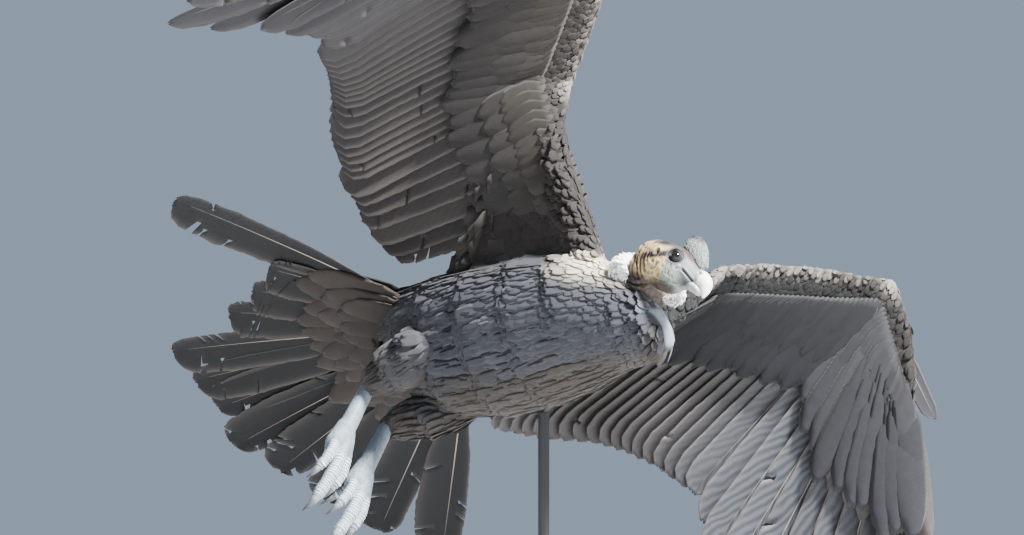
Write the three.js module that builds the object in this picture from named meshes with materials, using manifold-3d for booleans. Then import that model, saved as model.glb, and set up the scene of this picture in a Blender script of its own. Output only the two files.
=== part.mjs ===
// Andean condor, a young male with raised wings, life-size, on a display stand.
// Millimetres, +Z up, origin at the middle of the underside of the base.
// The bird is built level, x ahead, y to its left and z up from its back, then turned and banked as a whole.
import * as THREE from 'three';
import { mergeVertices } from 'three/addons/utils/BufferGeometryUtils.js';
import Module from 'manifold-3d';

const wasm = await Module();
wasm.setup();

// Driving dimensions
const stance = { x: -38, y: -26, z: 778, yaw: -27, pitch: 12.5, bank: 45 }; // millimetres and degrees
const gap = 0.3; // between neighbouring pieces
const neckRadius = 38;
const headHalfWidth = 32;
const eyeRadius = 9.5;
const vaneThickness = 1.8;
const vaneEdge = 0.8;
const shaftTwist = 13; // degrees that each flight feather turns about its shaft
const fingerTwist = 30; // further turn at the tips of the right wing's spread fingers
const tailReach = 515; // from the middle of the fan to its tips
const tailRoot = 118;
const rodRadius = 9;
const baseRadius = 290;
const baseThickness = 14;

// Points and directions
const vec = (x, y, z) => new THREE.Vector3(x, y, z);
const at = (list) => new THREE.Vector3(...list);
const mix = (a, b, t) => a + (b - a) * t;
const mixVec = (a, b, t) => a.clone().lerp(b, t);
const radians = THREE.MathUtils.degToRad;
const along = (start, direction, distance) => start.clone().addScaledVector(direction, distance);
const unit = (from, to) => to.clone().sub(from).normalize();
const cross = (a, b) => a.clone().cross(b).normalize();
const ahead = vec(1, 0, 0);
const left = vec(0, 1, 0);
const up = vec(0, 0, 1);
const steps = (count) => Array.from({ length: count }, (_, i) => (count > 1 ? i / (count - 1) : 0));

let seed = 7;
function chance(low, high) {
  seed = (seed * 16807) % 2147483647;
  return mix(low, high, seed / 2147483647);
}

// A smooth curve through a list of points, read by a share from 0 to 1.
function curve(points) {
  const spline = new THREE.CatmullRomCurve3(points.map((p) => (p.isVector3 ? p : at(p))), false, 'centripetal');
  return (share) => spline.getPoint(Math.min(1, Math.max(0, share)));
}

// Closed shapes
function geometryOf(points, triangles) {
  const slice = ([a, b, c]) => points[a].dot(points[b].clone().cross(points[c]));
  const volume = triangles.reduce((sum, corners) => sum + slice(corners), 0);
  const outward = volume < 0 ? triangles.map(([a, b, c]) => [a, c, b]) : triangles;
  return new THREE.BufferGeometry().setFromPoints(points).setIndex(outward.flat());
}

// A skin over rings of points, both ends closed at the middle of their ring.
function loft(rings) {
  const count = rings[0].length;
  const points = rings.flat();
  const triangles = [];
  for (let r = 0; r < rings.length - 1; r++)
    for (let i = 0; i < count; i++) {
      const [a, b] = [r * count + i, r * count + ((i + 1) % count)];
      triangles.push([a, b, b + count], [a, b + count, a + count]);
    }
  for (const r of [0, rings.length - 1]) {
    const middle = rings[r].reduce((sum, p) => sum.add(p), vec(0, 0, 0)).divideScalar(count);
    const tip = points.push(middle) - 1;
    for (let i = 0; i < count; i++) {
      const [a, b] = [r * count + i, r * count + ((i + 1) % count)];
      triangles.push(r ? [a, b, tip] : [b, a, tip]);
    }
  }
  return geometryOf(points, triangles);
}

function ring(centre, side, rise, [half, back], [top, bottom], count) {
  return Array.from({ length: count }, (_, i) => {
    const angle = (i / count) * 2 * Math.PI;
    const [c, s] = [Math.cos(angle), Math.sin(angle)];
    const aside = along(centre, side, c * (c > 0 ? half : back));
    return along(aside, rise, s * (s > 0 ? top : bottom));
  });
}

// A tube of oval rings along a curve, sized by a list of [share, half width, rise, drop].
function limb(path, sizes, side, count = 12, grow = 0) {
  return loft(sizes.map(([share, width, rises = width, drops = rises], i) => {
    const direction = unit(path(share - 0.02), path(share + 0.02));
    const rise = cross(direction, side);
    const end = i === 0 ? -grow : i === sizes.length - 1 ? grow : 0;
    return ring(along(path(share), direction, end), cross(rise, direction), rise,
      [width + grow, width + grow], [rises + grow, drops + grow], count);
  }));
}

// A thin plate of rows of points between an upper and a lower face, split alike on both.
function plate(upper, lower) {
  const [rows, columns] = [upper.length, upper[0].length];
  const points = [...upper.flat(), ...lower.flat()];
  const under = rows * columns;
  const triangles = [];
  for (let r = 0; r < rows - 1; r++)
    for (let c = 0; c < columns - 1; c++) {
      const a = r * columns + c;
      const [b, d, e] = [a + 1, a + columns, a + columns + 1];
      triangles.push([a, b, e], [a, e, d]);
      triangles.push([under + b, under + a, under + e], [under + e, under + a, under + d]);
    }
  const rim = [];
  for (let c = 0; c < columns; c++) rim.push(c);
  for (let r = 1; r < rows; r++) rim.push(r * columns + columns - 1);
  for (let c = columns - 2; c >= 0; c--) rim.push((rows - 1) * columns + c);
  for (let r = rows - 2; r > 0; r--) rim.push(r * columns);
  rim.forEach((a, i) => {
    const b = rim[(i + 1) % rim.length];
    triangles.push([b, a, under + a], [b, under + a, under + b]);
  });
  return geometryOf(points, triangles);
}

// One feather: a bowed blade from its root to its tip with its upper face towards the normal.
const plainVane = { inner: 0.5, twist: 0, curl: 0, bow: 0, thick: vaneThickness, edge: vaneEdge, columns: 3 };
function vane(form, grow = 0) {
  const { root, tip, normal, widths, inner, twist, curl, bow, thick, edge, columns } = { ...plainVane, ...form };
  const direction = unit(root, tip);
  const length = root.distanceTo(tip);
  const flat = cross(cross(direction, normal), direction);
  const faces = [1, -1].map((sign) => widths.map(([share, width]) => {
    const face = flat.clone().applyAxisAngle(direction, radians(twist + curl * share));
    const side = cross(face, direction);
    const shaft = bow * length * 4 * share * (1 - share);
    const middle = along(along(root, direction, share * length), normal, shaft);
    const taper = share > 0.9 ? 0.6 : 1;
    const row = [];
    for (let c = 0; c < columns; c++) {
      const offset = columns === 3 ? [-inner, 0, 1 - inner][c] : [-inner, 1 - inner][c];
      const half = ((columns === 3 && c === 1 ? thick : edge) * taper) / 2 + grow;
      const wide = offset * width + Math.sign(offset) * grow;
      row.push(along(along(middle, side, wide), face, sign * half));
    }
    return row;
  }));
  return plate(faces[0], faces[1]);
}

// Solids for joining and cutting
function solidOf(geometry) {
  const bare = geometry.clone();
  bare.deleteAttribute('normal');
  bare.deleteAttribute('uv');
  const merged = mergeVertices(bare, 1e-4);
  return new wasm.Manifold(new wasm.Mesh({
    numProp: 3,
    vertProperties: new Float32Array(merged.attributes.position.array),
    triVerts: new Uint32Array(merged.index.array),
  }));
}
const fuse = (geometries) => wasm.Manifold.union(geometries.map(solidOf));

// The largest closed body of a solid, as a geometry.
function largestOf(solid) {
  const body = solid.decompose().reduce((best, one) => (one.volume() > best.volume() ? one : best));
  const mesh = body.getMesh();
  const geometry = new THREE.BufferGeometry();
  geometry.setAttribute('position', new THREE.BufferAttribute(new Float32Array(mesh.vertProperties), 3));
  return geometry.setIndex(new THREE.BufferAttribute(new Uint32Array(mesh.triVerts), 1));
}

// Materials
const coat = (color, roughness) => new THREE.MeshStandardMaterial({ color, roughness, metalness: 0 });
const materials = {
  plumage: coat(0x6f665e, 0.85),
  flight: coat(0x3c393a, 0.7),
  down: coat(0xe8e6e2, 0.95),
  skin: coat(0x6d6354, 0.7),
  comb: coat(0x6c716f, 0.7),
  horn: coat(0xc9c5bb, 0.45),
  eye: coat(0x2b211c, 0.15),
  scute: coat(0xb9c3c8, 0.6),
  claw: coat(0x3b3d40, 0.45),
  steel: new THREE.MeshStandardMaterial({ color: 0x2c2d2f, roughness: 0.5, metalness: 0.6 }),
};

const model = new THREE.Group();
const bird = new THREE.Group();
bird.position.set(stance.x, stance.y, stance.z);
bird.rotation.set(radians(-stance.bank), radians(-stance.pitch), radians(stance.yaw), 'ZYX');
model.add(bird);
function place(name, solid, material, group = bird) {
  const mesh = new THREE.Mesh(largestOf(solid), material);
  mesh.name = name;
  group.add(mesh);
}

// Trunk from the rump to the breast
const trunkStations = [
  // along, half width, height of the widest line, top, bottom, middle to the left
  [-250, 60, 60, 88, 30, 0],
  [-219, 86, 58, 106, -10, 0],
  [-168, 110, 48, 118, -82, 0],
  [-96, 128, 20, 120, -122, 0],
  [-13, 136, 0, 116, -131, 0],
  [69, 132, 0, 112, -127, 0],
  [141, 119, 0, 98, -117, 0],
  [190, 96, -8, 74, -111, 2],
  [228, 79, -22, 34, -104, 8],
  [256, 62, -34, 2, -92, 14],
  [274, 40, -40, -18, -74, 18],
];
function trunk(grow = 0) {
  return loft(trunkStations.map(([x, half, middle, top, bottom, aside], i) => {
    const end = i === 0 ? -grow : i === trunkStations.length - 1 ? grow : 0;
    const rise = [top - middle + grow, middle - bottom + grow];
    return ring(vec(x + end, aside, middle), left, up, [half + grow, half + grow], rise, 20);
  }));
}

// Tail: twelve feathers in a fan about a point inside the rump
const fanMiddle = vec(-100, 0, 55);
const tailFeathers = [
  // degrees to the left of straight back, share of the full reach
  [-51, 1.02], [-41, 0.66], [-31, 0.7], [-22, 0.78], [-11, 1.0], [-3, 0.98],
  [5, 0.97], [14, 1.02], [23, 0.98], [34, 0.98], [45, 1.0], [57, 1.0],
];
const fanLayer = [-14, -11.2, -8.4, -5.6, -2.8, 0, 2.8, 0, -2.8, -5.6, -8.4, -11.2];
const tailWidths = [[0, 8], [0.12, 26], [0.4, 70], [0.7, 84], [0.93, 76], [1, 40]];
const backward = (degrees) => vec(-Math.cos(radians(degrees)), Math.sin(radians(degrees)), 0);
function tailVanes(grow = 0) {
  return tailFeathers.map(([degrees, share], i) => {
    const direction = backward(degrees);
    const layer = along(fanMiddle, up, fanLayer[i]);
    const lean = degrees < 0 ? 0.64 : 0.36;
    return vane({
      root: along(layer, direction, tailRoot), tip: along(layer, direction, tailReach * share),
      normal: up, widths: tailWidths, inner: lean, bow: 0.015,
    }, grow);
  });
}
const stumpPath = curve(steps(7).map((share) => along(fanMiddle, backward(mix(-60, 60, share)), 150)));
const stumpSizes = [
  [0, 5, 24], [0.12, 13, 34], [0.3, 15, 38], [0.5, 15, 38], [0.7, 15, 38], [0.88, 13, 34], [1, 5, 24],
];
const tailStump = (grow = 0) => limb(stumpPath, stumpSizes, up, 10, grow);

// Tail coverts above and below, rooted in the rump
function tailCoverts() {
  const tiers = [
    { height: -18, sink: -6, reach: 285, count: 8, start: 96, spread: 42, width: 60 },
    { height: -27, sink: -6, reach: 225, count: 6, start: 86, spread: 32, width: 62 },
    { height: 16, sink: 4, reach: 255, count: 6, start: 90, spread: 36, width: 66 },
  ];
  const covert = ({ height, sink, reach, start, spread, width }, share, i) => {
    const direction = backward(mix(-spread, spread, share));
    const layer = along(fanMiddle, up, height - Math.sign(height) * 1.6 * (i % 2));
    return vane({
      root: along(along(layer, direction, start), up, -sink),
      tip: along(layer, direction, reach * chance(0.94, 1.04)),
      normal: up, widths: [[0, 16], [0.5, width], [0.88, width * 0.8], [1, width * 0.35]], columns: 2, edge: 1.2,
    });
  };
  return tiers.flatMap((tier) => steps(tier.count).map((share, i) => covert(tier, share, i)));
}

// Wings: bones and feather tips read in the bird's own axes
const wings = {
  left: {
    side: 1,
    shoulder: [150, 95, 80], elbow: [144, 253, 307], wrist: [318, 475, 443], fingertip: [328, 601, 351],
    tertialTips: [[-194, 140, 133], [-195, 176, 121], [-200, 218, 106], [-203, 249, 97]],
    secondaryTips: [[-195, 262, 96], [-145, 322, 126], [-82, 386, 154], [-40, 456, 168], [1, 540, 166]],
    primaryTips: [
      [4, 588, 139], [-3, 627, 107], [-6, 680, 68], [-3, 740, 28], [11, 809, -12],
      [38, 877, -44], [64, 939, -71], [117, 998, -85], [173, 1013, -63], [232, 1013, -27],
    ],
    thumb: [[322, 500, 446], [356, 660, 347]],
  },
  right: {
    side: -1,
    shoulder: [150, -95, 80], elbow: [113, -277, 283], wrist: [303, -474, 440], fingertip: [308, -592, 346],
    tertialTips: [[-194, -140, 132], [-206, -171, 128], [-214, -215, 137], [-213, -248, 146], [-217, -275, 147]],
    secondaryTips: [[-206, -302, 157], [-200, -352, 174], [-176, -408, 204], [-162, -448, 206], [-148, -503, 193]],
    primaryTips: [
      [-128, -529, 186], [-107, -568, 159], [-100, -608, 121], [-100, -655, 76], [-116, -700, 45],
      [-167, -755, 3], [-204, -817, -38], [-143, -861, -51], [-80, -896, -64], [3, -908, -49],
    ],
    thumb: [[308, -498, 444], [330, -655, 345]],
  },
};
const tertialCount = 5;
const secondaryCount = 12;
const flightBow = 0.035; // rise of a flight feather's middle, as a share of its length
const covertReach = 235; // longest covert over a flight feather
const shapes = {
  tertial: { widths: [[0, 10], [0.35, 54], [0.88, 62], [1, 30]], inner: 0.6 },
  secondary: { widths: [[0, 9], [0.35, 50], [0.9, 60], [1, 30]], inner: 0.62 },
  primary: { widths: [[0, 9], [0.35, 48], [0.88, 60], [1, 24]], inner: 0.66 },
  finger: { widths: [[0, 9], [0.46, 62], [0.62, 50], [0.93, 42], [1, 18]], inner: 0.66 },
};

// Every flight feather of a wing from the body outward, with the piece that it grows from.
function flightsOf(wing) {
  const [shoulder, elbow, wrist, fingertip] = [wing.shoulder, wing.elbow, wing.wrist, wing.fingertip].map(at);
  const flights = [];
  const add = (part, kind, count, [from, to], [start, end], tips) => steps(count).forEach((share) => {
    flights.push({ part, kind, bone: mixVec(from, to, mix(start, end, share)), tip: tips(share) });
  });
  add('upper', 'tertial', tertialCount, [shoulder, elbow], [0.24, 0.92], curve(wing.tertialTips));
  add('forearm', 'secondary', secondaryCount, [elbow, wrist], [0.04, 0.95], curve(wing.secondaryTips));
  wing.primaryTips.forEach((tip, i) => {
    const bone = mixVec(wrist, fingertip, mix(0.06, 0.97, i / (wing.primaryTips.length - 1)));
    flights.push({ part: 'hand', kind: i < 5 ? 'primary' : 'finger', bone, tip: at(tip) });
  });
  flights.forEach((flight, i) => {
    const [before, after] = [flights[Math.max(0, i - 1)], flights[Math.min(flights.length - 1, i + 1)]];
    flight.span = unit(mixVec(before.bone, before.tip, 0.5), mixVec(after.bone, after.tip, 0.5));
    flight.facing = cross(unit(flight.bone, flight.tip), flight.span).multiplyScalar(-wing.side);
  });
  flights.forEach((flight, i) => {
    const near = flights.slice(Math.max(0, i - 3), i + 4);
    flight.normal = near.reduce((sum, one) => sum.add(one.facing), vec(0, 0, 0)).normalize();
    const spread = wing.side < 0 ? Math.max(0, (i - flights.length + 7) / 6) : 0;
    flight.curl = fingerTwist * spread;
    flight.bow = flightBow * (1 - Math.min(1, 2 * spread) * 0.8);
    flight.variation = chance(0.95, 1.05);
  });
  return flights;
}

// The flesh along the bones: chords ahead and behind the bone and thickness, read from the shoulder outward.
const fleshStations = [
  // piece, share along its bone, ahead, behind, half thickness
  ['upper', -0.2, 30, 230, 34], ['upper', 0.1, 26, 200, 30], ['upper', 0.4, 18, 125, 25], ['upper', 0.7, 32, 72, 22],
  ['upper', 1, 70, 50, 20], ['forearm', 0, 70, 50, 20], ['forearm', 0.3, 68, 46, 18], ['forearm', 0.65, 66, 42, 16],
  ['forearm', 1, 60, 38, 15], ['hand', 0, 60, 38, 15], ['hand', 0.4, 54, 34, 12], ['hand', 0.8, 38, 28, 9],
  ['hand', 1.08, 20, 20, 6],
];
function fleshRings(wing, flights, part, grow) {
  const ends = { upper: ['shoulder', 'elbow'], forearm: ['elbow', 'wrist'], hand: ['wrist', 'fingertip'] };
  const [start, finish] = ends[part].map((name) => at(wing[name]));
  const bones = [unit(at(wing.shoulder), at(wing.elbow)), unit(at(wing.elbow), at(wing.wrist)),
    unit(at(wing.wrist), at(wing.fingertip))];
  const own = { upper: 0, forearm: 1, hand: 2 }[part];
  const rows = fleshStations.filter(([name]) => name === part);
  return rows.map(([, share, front, behind, half], i) => {
    const [first, last] = [i === 0, i === rows.length - 1];
    const neighbour = first ? own - 1 : own + 1;
    const bend = (first && own > 0) || (last && own < 2) ? bones[neighbour] : bones[own];
    const axis = bones[own].clone().add(bend).normalize();
    const centre = mixVec(start, finish, share);
    const away = (flight) => flight.bone.distanceTo(centre);
    const near = flights.reduce((best, one) => (away(one) < away(best) ? one : best));
    const trail = unit(near.bone, near.tip);
    const chord = trail.addScaledVector(axis, -trail.dot(axis)).normalize().multiplyScalar(-1);
    const thick = cross(chord, axis).multiplyScalar(wing.side);
    const shift = (first ? gap / 2 - grow : last ? grow - gap / 2 : 0);
    return ring(along(centre, axis, own === 0 && first ? 0 : shift), chord, thick,
      [front + grow, behind + grow], [half + grow, half + grow], 12);
  });
}

// Coverts over the roots of the flight feathers, on both faces.
function covertsOf(flights, wing, grow) {
  const tiers = [
    { face: -1, every: 1, from: 12, reach: 0.42, lift: 12, rise: 20, width: 36 },
    { face: 1, every: 2, from: 10, reach: 0.4, lift: 13, rise: 20, width: 50 },
  ];
  const covert = ({ face, from, reach, lift, rise, width }, flight) => {
    const direction = unit(flight.bone, flight.tip);
    const length = flight.bone.distanceTo(flight.tip);
    const root = along(along(flight.bone, direction, from), flight.normal, face * rise * 0.5);
    const share = Math.min(reach, covertReach / length) * flight.variation;
    const shaft = flight.bow * length * 4 * share * (1 - share);
    const tip = along(along(flight.bone, direction, share * length), flight.normal, shaft + face * lift);
    return vane({
      root, tip, normal: flight.normal, twist: -wing.side * shaftTwist, bow: 0.02,
      widths: [[0, 14], [0.55, width], [1, width * 0.45]], columns: 2, edge: 1.1,
    }, grow);
  };
  const underTier = (tier) => flights.filter((_, i) => i % tier.every === 0);
  return tiers.flatMap((tier) => underTier(tier).map((flight) => covert(tier, flight)));
}

function wingPart(wing, flights, part, grow = 0) {
  const own = flights.filter((flight) => flight.part === part);
  const blades = own.map(({ bone, tip, normal, kind, curl, bow }) => vane({
    root: along(bone, unit(bone, tip), 8), tip, normal, curl, bow, widths: shapes[kind].widths,
    inner: wing.side > 0 ? 1 - shapes[kind].inner : shapes[kind].inner, twist: -wing.side * shaftTwist,
  }, grow));
  return fuse([loft(fleshRings(wing, flights, part, grow)), ...blades, ...covertsOf(own, wing, grow)]);
}

function alula(wing, flights) {
  const [root, tip] = wing.thumb.map(at);
  const hand = flights.filter((flight) => flight.part === 'hand');
  const normal = hand[4].normal;
  const stub = limb(curve([root, mixVec(root, tip, 0.25)]), [[0, 9], [0.6, 10], [1, 6]], normal, 6);
  const blades = [0, 1, 2].map((i) => vane({
    root: along(root, normal, 1 + i * 3), tip: along(along(tip, normal, 6 + i * 3), hand[4].span, -i * 12),
    normal, widths: [[0, 12], [0.5, 34], [0.9, 24], [1, 8]],
  }));
  return wasm.Manifold.union([solidOf(stub), ...blades.map(solidOf)]);
}

// Head, turned down and to the bird's left, built in its own axes and carried to its place
const headPlace = new THREE.Matrix4()
  .makeBasis(vec(0.848, 0.32, -0.422), vec(-0.239, 0.942, 0.236), vec(0.473, -0.099, 0.875))
  .setPosition(312.3, -52.7, 7.6);
const onHead = (geometry) => geometry.applyMatrix4(headPlace);
const headPoint = (x, y, z) => vec(x, y, z).applyMatrix4(headPlace);
function skull(grow = 0) {
  const stations = [
    // along, half width, rise, drop, height of the middle
    [-64, 20, 16, 20, -2], [-52, 28, 25, 30, 0], [-30, 32, 30, 40, 1], [-6, 32, 30, 46, 2],
    [14, 27, 27, 44, 0], [32, 19, 19, 28, -4], [46, 13, 14, 17, -7],
  ];
  return onHead(loft(stations.map(([x, width, rise, drop, middle], i) => {
    const end = i === 0 ? -grow : i === stations.length - 1 ? grow : 0;
    const half = (width / 32) * headHalfWidth + grow;
    return ring(vec(x + end, 0, middle), left, up, [half, half], [rise + grow, drop + grow], 16);
  })));
}
function eyeBall(side, radius) {
  const ball = new THREE.SphereGeometry(radius, 12, 8);
  return onHead(ball.translate(4, side * 23.5, 5));
}

// Folds, lids, the cup of the ear and the lips on one side of the head
function faceForms(side) {
  const fold = (points, sizes) => onHead(limb(curve(points.map(([x, y, z]) => [x, side * y, z])), sizes, up, 5));
  const rim = (radius, thick, count) => new THREE.TorusGeometry(radius, thick, 5, count).rotateX(Math.PI / 2);
  const lids = rim(10, 2.6, 12).scale(1.15, 1, 0.9).translate(4, side * 27.5, 5);
  const ear = rim(6, 2.2, 8).scale(0.8, 1, 1.2).translate(-27, side * 32, -2);
  return [
    fold([[-50, 20, 12], [-46, 27, -4], [-42, 24, -22]], [[0, 3], [0.5, 6], [1, 3]]),
    fold([[-15, 30, -6], [-10, 32, -18], [-8, 23, -36]], [[0, 3], [0.5, 5.5], [1, 3]]),
    fold([[4, 27, -12], [6, 28, -21], [4, 19, -34]], [[0, 3], [0.5, 4.5], [1, 2.5]]),
    fold([[10, 26.5, -22], [26, 21, -24], [43, 12.5, -24]], [[0, 2.4], [0.5, 3], [1, 1.6]]),
    onHead(lids), onHead(ear),
  ];
}
const pit = (radius, wide, tall) => new THREE.SphereGeometry(radius, 8, 5).scale(wide, 1, tall);
const earHollow = (side) => onHead(pit(4.4, 0.9, 1.3).translate(-27, side * 33, -2));
const mouthPath = (side) => curve([[24, side * 23.5, -10], [38, side * 17.5, -15], [50, side * 13, -19]]);
const mouthLine = (side) => onHead(limb(mouthPath(side), [[0, 1], [0.3, 1.6], [1, 1.6]], up, 5));
const upperBillPath = curve([[42, 0, -4], [54, 0, -5], [63, 0, -10], [69, 0, -19], [73, 0, -33]]);
const upperBillSizes = [
  [0, 13, 15], [0.22, 12.5, 14.5], [0.45, 11.5, 13], [0.65, 9.5, 10.5], [0.84, 6, 7], [1, 1.4, 1.8],
];
const upperBill = (grow = 0) => onHead(limb(upperBillPath, upperBillSizes, left, 12, grow));
const lowerBill = () => onHead(limb(curve([[36, 0, -20], [50, 0, -24], [58, 0, -27], [64, 0, -29]]),
  [[0, 12, 7.5], [0.4, 10.5, 6.5], [0.8, 6.5, 5], [1, 2.2, 2.4]], left, 10));
const nostril = (side) => onHead(pit(3, 1.5, 0.8).translate(51, side * 12.8, -1));
const combStations = [
  // along, foot, crest, half thickness
  [-8, 32, 55, 4.5], [-2, 26, 63, 8.5], [9, 20, 63.5, 10], [20, 14, 58, 10],
  [31, 8, 48, 9], [41, 3, 34, 7.5], [49, 0, 20, 4],
];
function combLobe() {
  return onHead(loft(combStations.map(([x, foot, crest, half], i) => {
    const middle = (foot + crest) / 2;
    const wave = i % 2 ? 1 : -1;
    return ring(vec(x, wave * 0.8, middle), left, up, [half, half - wave], [crest - middle, middle - foot], 10);
  })));
}

// Neck and the ruff of down round its foot
const neckPath = curve([[190, -2, 0], [226, -18, 4], [256, -42, 12], [282, -66, 26]]);
const neckSizes = [
  [0, 1.2], [0.2, 1.16], [0.32, 1.02], [0.42, 1.1], [0.52, 0.96], [0.62, 1.04], [0.72, 0.92], [0.82, 0.98], [1, 0.82],
].map(([share, size]) => [share, size * neckRadius]);
const neck = (grow = 0) => limb(neckPath, neckSizes, left, 16, grow);
const ruffMiddle = vec(253, -39, 0);
const ruffAxis = vec(0.74, -0.58, 0.34).normalize();
// The collar of locks is open under the throat, toward this direction.
const ruffFront = vec(0.3, -0.25, -0.92).projectOnPlane(ruffAxis).normalize();
const ruffOpening = 0.5;
function ruff() {
  const turn = new THREE.Quaternion().setFromUnitVectors(up, ruffAxis);
  const collar = new THREE.TorusGeometry(46, 10, 6, 20).applyQuaternion(turn).translate(...ruffMiddle);
  const tiers = [{ count: 13, out: 66, back: -20, from: -2 }, { count: 12, out: 62, back: 3, from: 5 }];
  const around = ({ count }) => Array.from({ length: count }, (_, i) => {
    const angle = ((i + chance(-0.2, 0.2)) / count) * 2 * Math.PI;
    return vec(Math.cos(angle), Math.sin(angle), 0).applyQuaternion(turn);
  });
  const lock = ({ out, back, from }, outward) => {
    const root = along(along(ruffMiddle, outward, 44), ruffAxis, from);
    const tip = along(along(ruffMiddle, outward, out * chance(0.95, 1.05)), ruffAxis, back);
    return vane({
      root, tip, normal: ruffAxis, widths: [[0, 22], [0.65, 32], [1, 13]],
      thick: 7, edge: 4, bow: 0.14, columns: 2,
    });
  };
  const closed = (outward) => outward.dot(ruffFront) < ruffOpening;
  const locksOf = (tier) => around(tier).filter(closed).map((outward) => lock(tier, outward));
  return fuse([collar, ...tiers.flatMap(locksOf)]);
}

// Thighs, feet and claws
const hock = (side) => (side > 0 ? vec(-243, 37, -98) : vec(-236, -45, -90));
const thigh = (side, grow = 0) => limb(curve([[-120, side * 58, -44], [-182, side * 54, -72], hock(side)]),
  [[0, 48, 52], [0.35, 46, 48], [0.7, 34, 34], [0.9, 22, 22], [1, 15, 15]], left, 14, grow);
const ankle = (side) => hock(side).add(vec(-26, 0, -115));
const toes = [
  // name, start from the ankle, direction, length, thickness
  ['outer', [2, 19, -22], [-0.16, 0.1, -0.97], 66, 9],
  ['middle', [7, 0, -22], [-0.23, 0, -0.97], 108, 11.4],
  ['inner', [2, -19, -22], [-0.18, -0.1, -0.97], 60, 9],
  ['hind', [-14, -3, -8], [-0.6, -0.1, -0.78], 36, 7],
];
const toePath = (side, [, start, direction, length]) => {
  const root = ankle(side).add(vec(start[0], side * start[1], start[2]));
  const aim = vec(direction[0], side * direction[1], direction[2]).normalize();
  return curve([along(root, aim, -14), along(along(root, aim, length * 0.5), ahead, 7), along(root, aim, length)]);
};
const toeSwell = curve([
  [0, 1.05, 0], [0.2, 1.08, 0], [0.4, 0.92, 0], [0.58, 1.05, 0], [0.74, 0.9, 0], [0.88, 0.98, 0], [1, 0.66, 0],
]);

// Sizes of a toe or shank with plates across its front, each plate a step above the next.
function plated(width, count, from, swell) {
  const height = (share) => width * swell(share) * 0.92;
  const sizes = [[0, width * swell(0), height(0)]];
  for (let i = 0; i < count; i++) {
    const [start, end] = [mix(from, 0.97, i / count), mix(from, 0.97, (i + 0.86) / count)];
    sizes.push([start, width * swell(start), height(start) + width * 0.12, height(start)]);
    sizes.push([end, width * swell(end), height(end) + width * 0.2, height(end)]);
  }
  return [...sizes, [1, width * swell(1), height(1)]];
}
function foot(side) {
  const shank = curve([hock(side), mixVec(hock(side), ankle(side), 0.5), ankle(side)]);
  const underAnkle = (x, z) => ankle(side).add(vec(x, 0, z));
  const sole = curve([underAnkle(4, 34), underAnkle(2, -4), underAnkle(-4, -42)]);
  const toeLimb = (toe) => {
    const sizes = plated(toe[4], toe[0] === 'hind' ? 2 : 4, 0.22, (share) => toeSwell(share).y);
    return limb(toePath(side, toe), sizes, left, 8);
  };
  return fuse([
    limb(shank, plated(14, 6, 0.25, (share) => 0.9 + 0.25 * share), left, 10),
    limb(sole, [[0, 15, 14], [0.35, 23, 18], [0.7, 30, 19], [1, 24, 12]], left, 12),
    ...toes.map(toeLimb),
  ]);
}
function claw(side, toe) {
  const path = toePath(side, toe);
  const aim = unit(path(0.97), path(1));
  const size = toe[4] * 0.62;
  const base = along(path(1), aim, gap + 0.8);
  const length = { outer: 20, middle: 25, inner: 20, hind: 18 }[toe[0]];
  const middle = along(along(base, aim, length * 0.5), ahead, -1.5);
  const hooked = curve([base, middle, along(along(base, aim, length), ahead, -length * 0.4)]);
  return solidOf(limb(hooked, [[0, size], [0.35, size * 0.85], [0.7, size * 0.5], [1, 0.7]], left, 8));
}

// Put the bird together, each piece cut back a gap from those already there
const trunkRoom = solidOf(trunk(gap));
const skullRoom = solidOf(skull(gap));
const tailRoom = fuse([tailStump(gap), ...tailVanes(gap)]);
place('torso', fuse(tailCoverts()).subtract(tailRoom).add(solidOf(trunk())), materials.plumage);
place('tail', fuse([tailStump(), ...tailVanes()]).subtract(trunkRoom), materials.flight);

const sockets = wasm.Manifold.union([1, -1].map((side) => solidOf(eyeBall(side, eyeRadius + gap))));
const cuts = fuse([earHollow(1), earHollow(-1), mouthLine(1), mouthLine(-1)]);
const billRoom = solidOf(upperBill(gap));
const head = fuse([skull(), ...faceForms(1), ...faceForms(-1)]).subtract(sockets).subtract(cuts).subtract(billRoom);
place('head', head.subtract(trunkRoom), materials.skin);
place('eye_left', solidOf(eyeBall(1, eyeRadius)), materials.eye);
place('eye_right', solidOf(eyeBall(-1, eyeRadius)), materials.eye);
place('bill_upper', solidOf(upperBill()).subtract(fuse([nostril(1), nostril(-1)])), materials.horn);
place('bill_lower', solidOf(lowerBill()).subtract(billRoom).subtract(skullRoom), materials.horn);
place('comb', solidOf(combLobe()).subtract(skullRoom).subtract(billRoom), materials.comb);
const headRoom = fuse([skull(gap), ...faceForms(1), ...faceForms(-1)]);
place('neck', solidOf(neck()).subtract(trunkRoom).subtract(headRoom), materials.skin);
place('ruff', ruff().subtract(trunkRoom).subtract(solidOf(neck(gap))).subtract(headRoom), materials.down);

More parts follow.
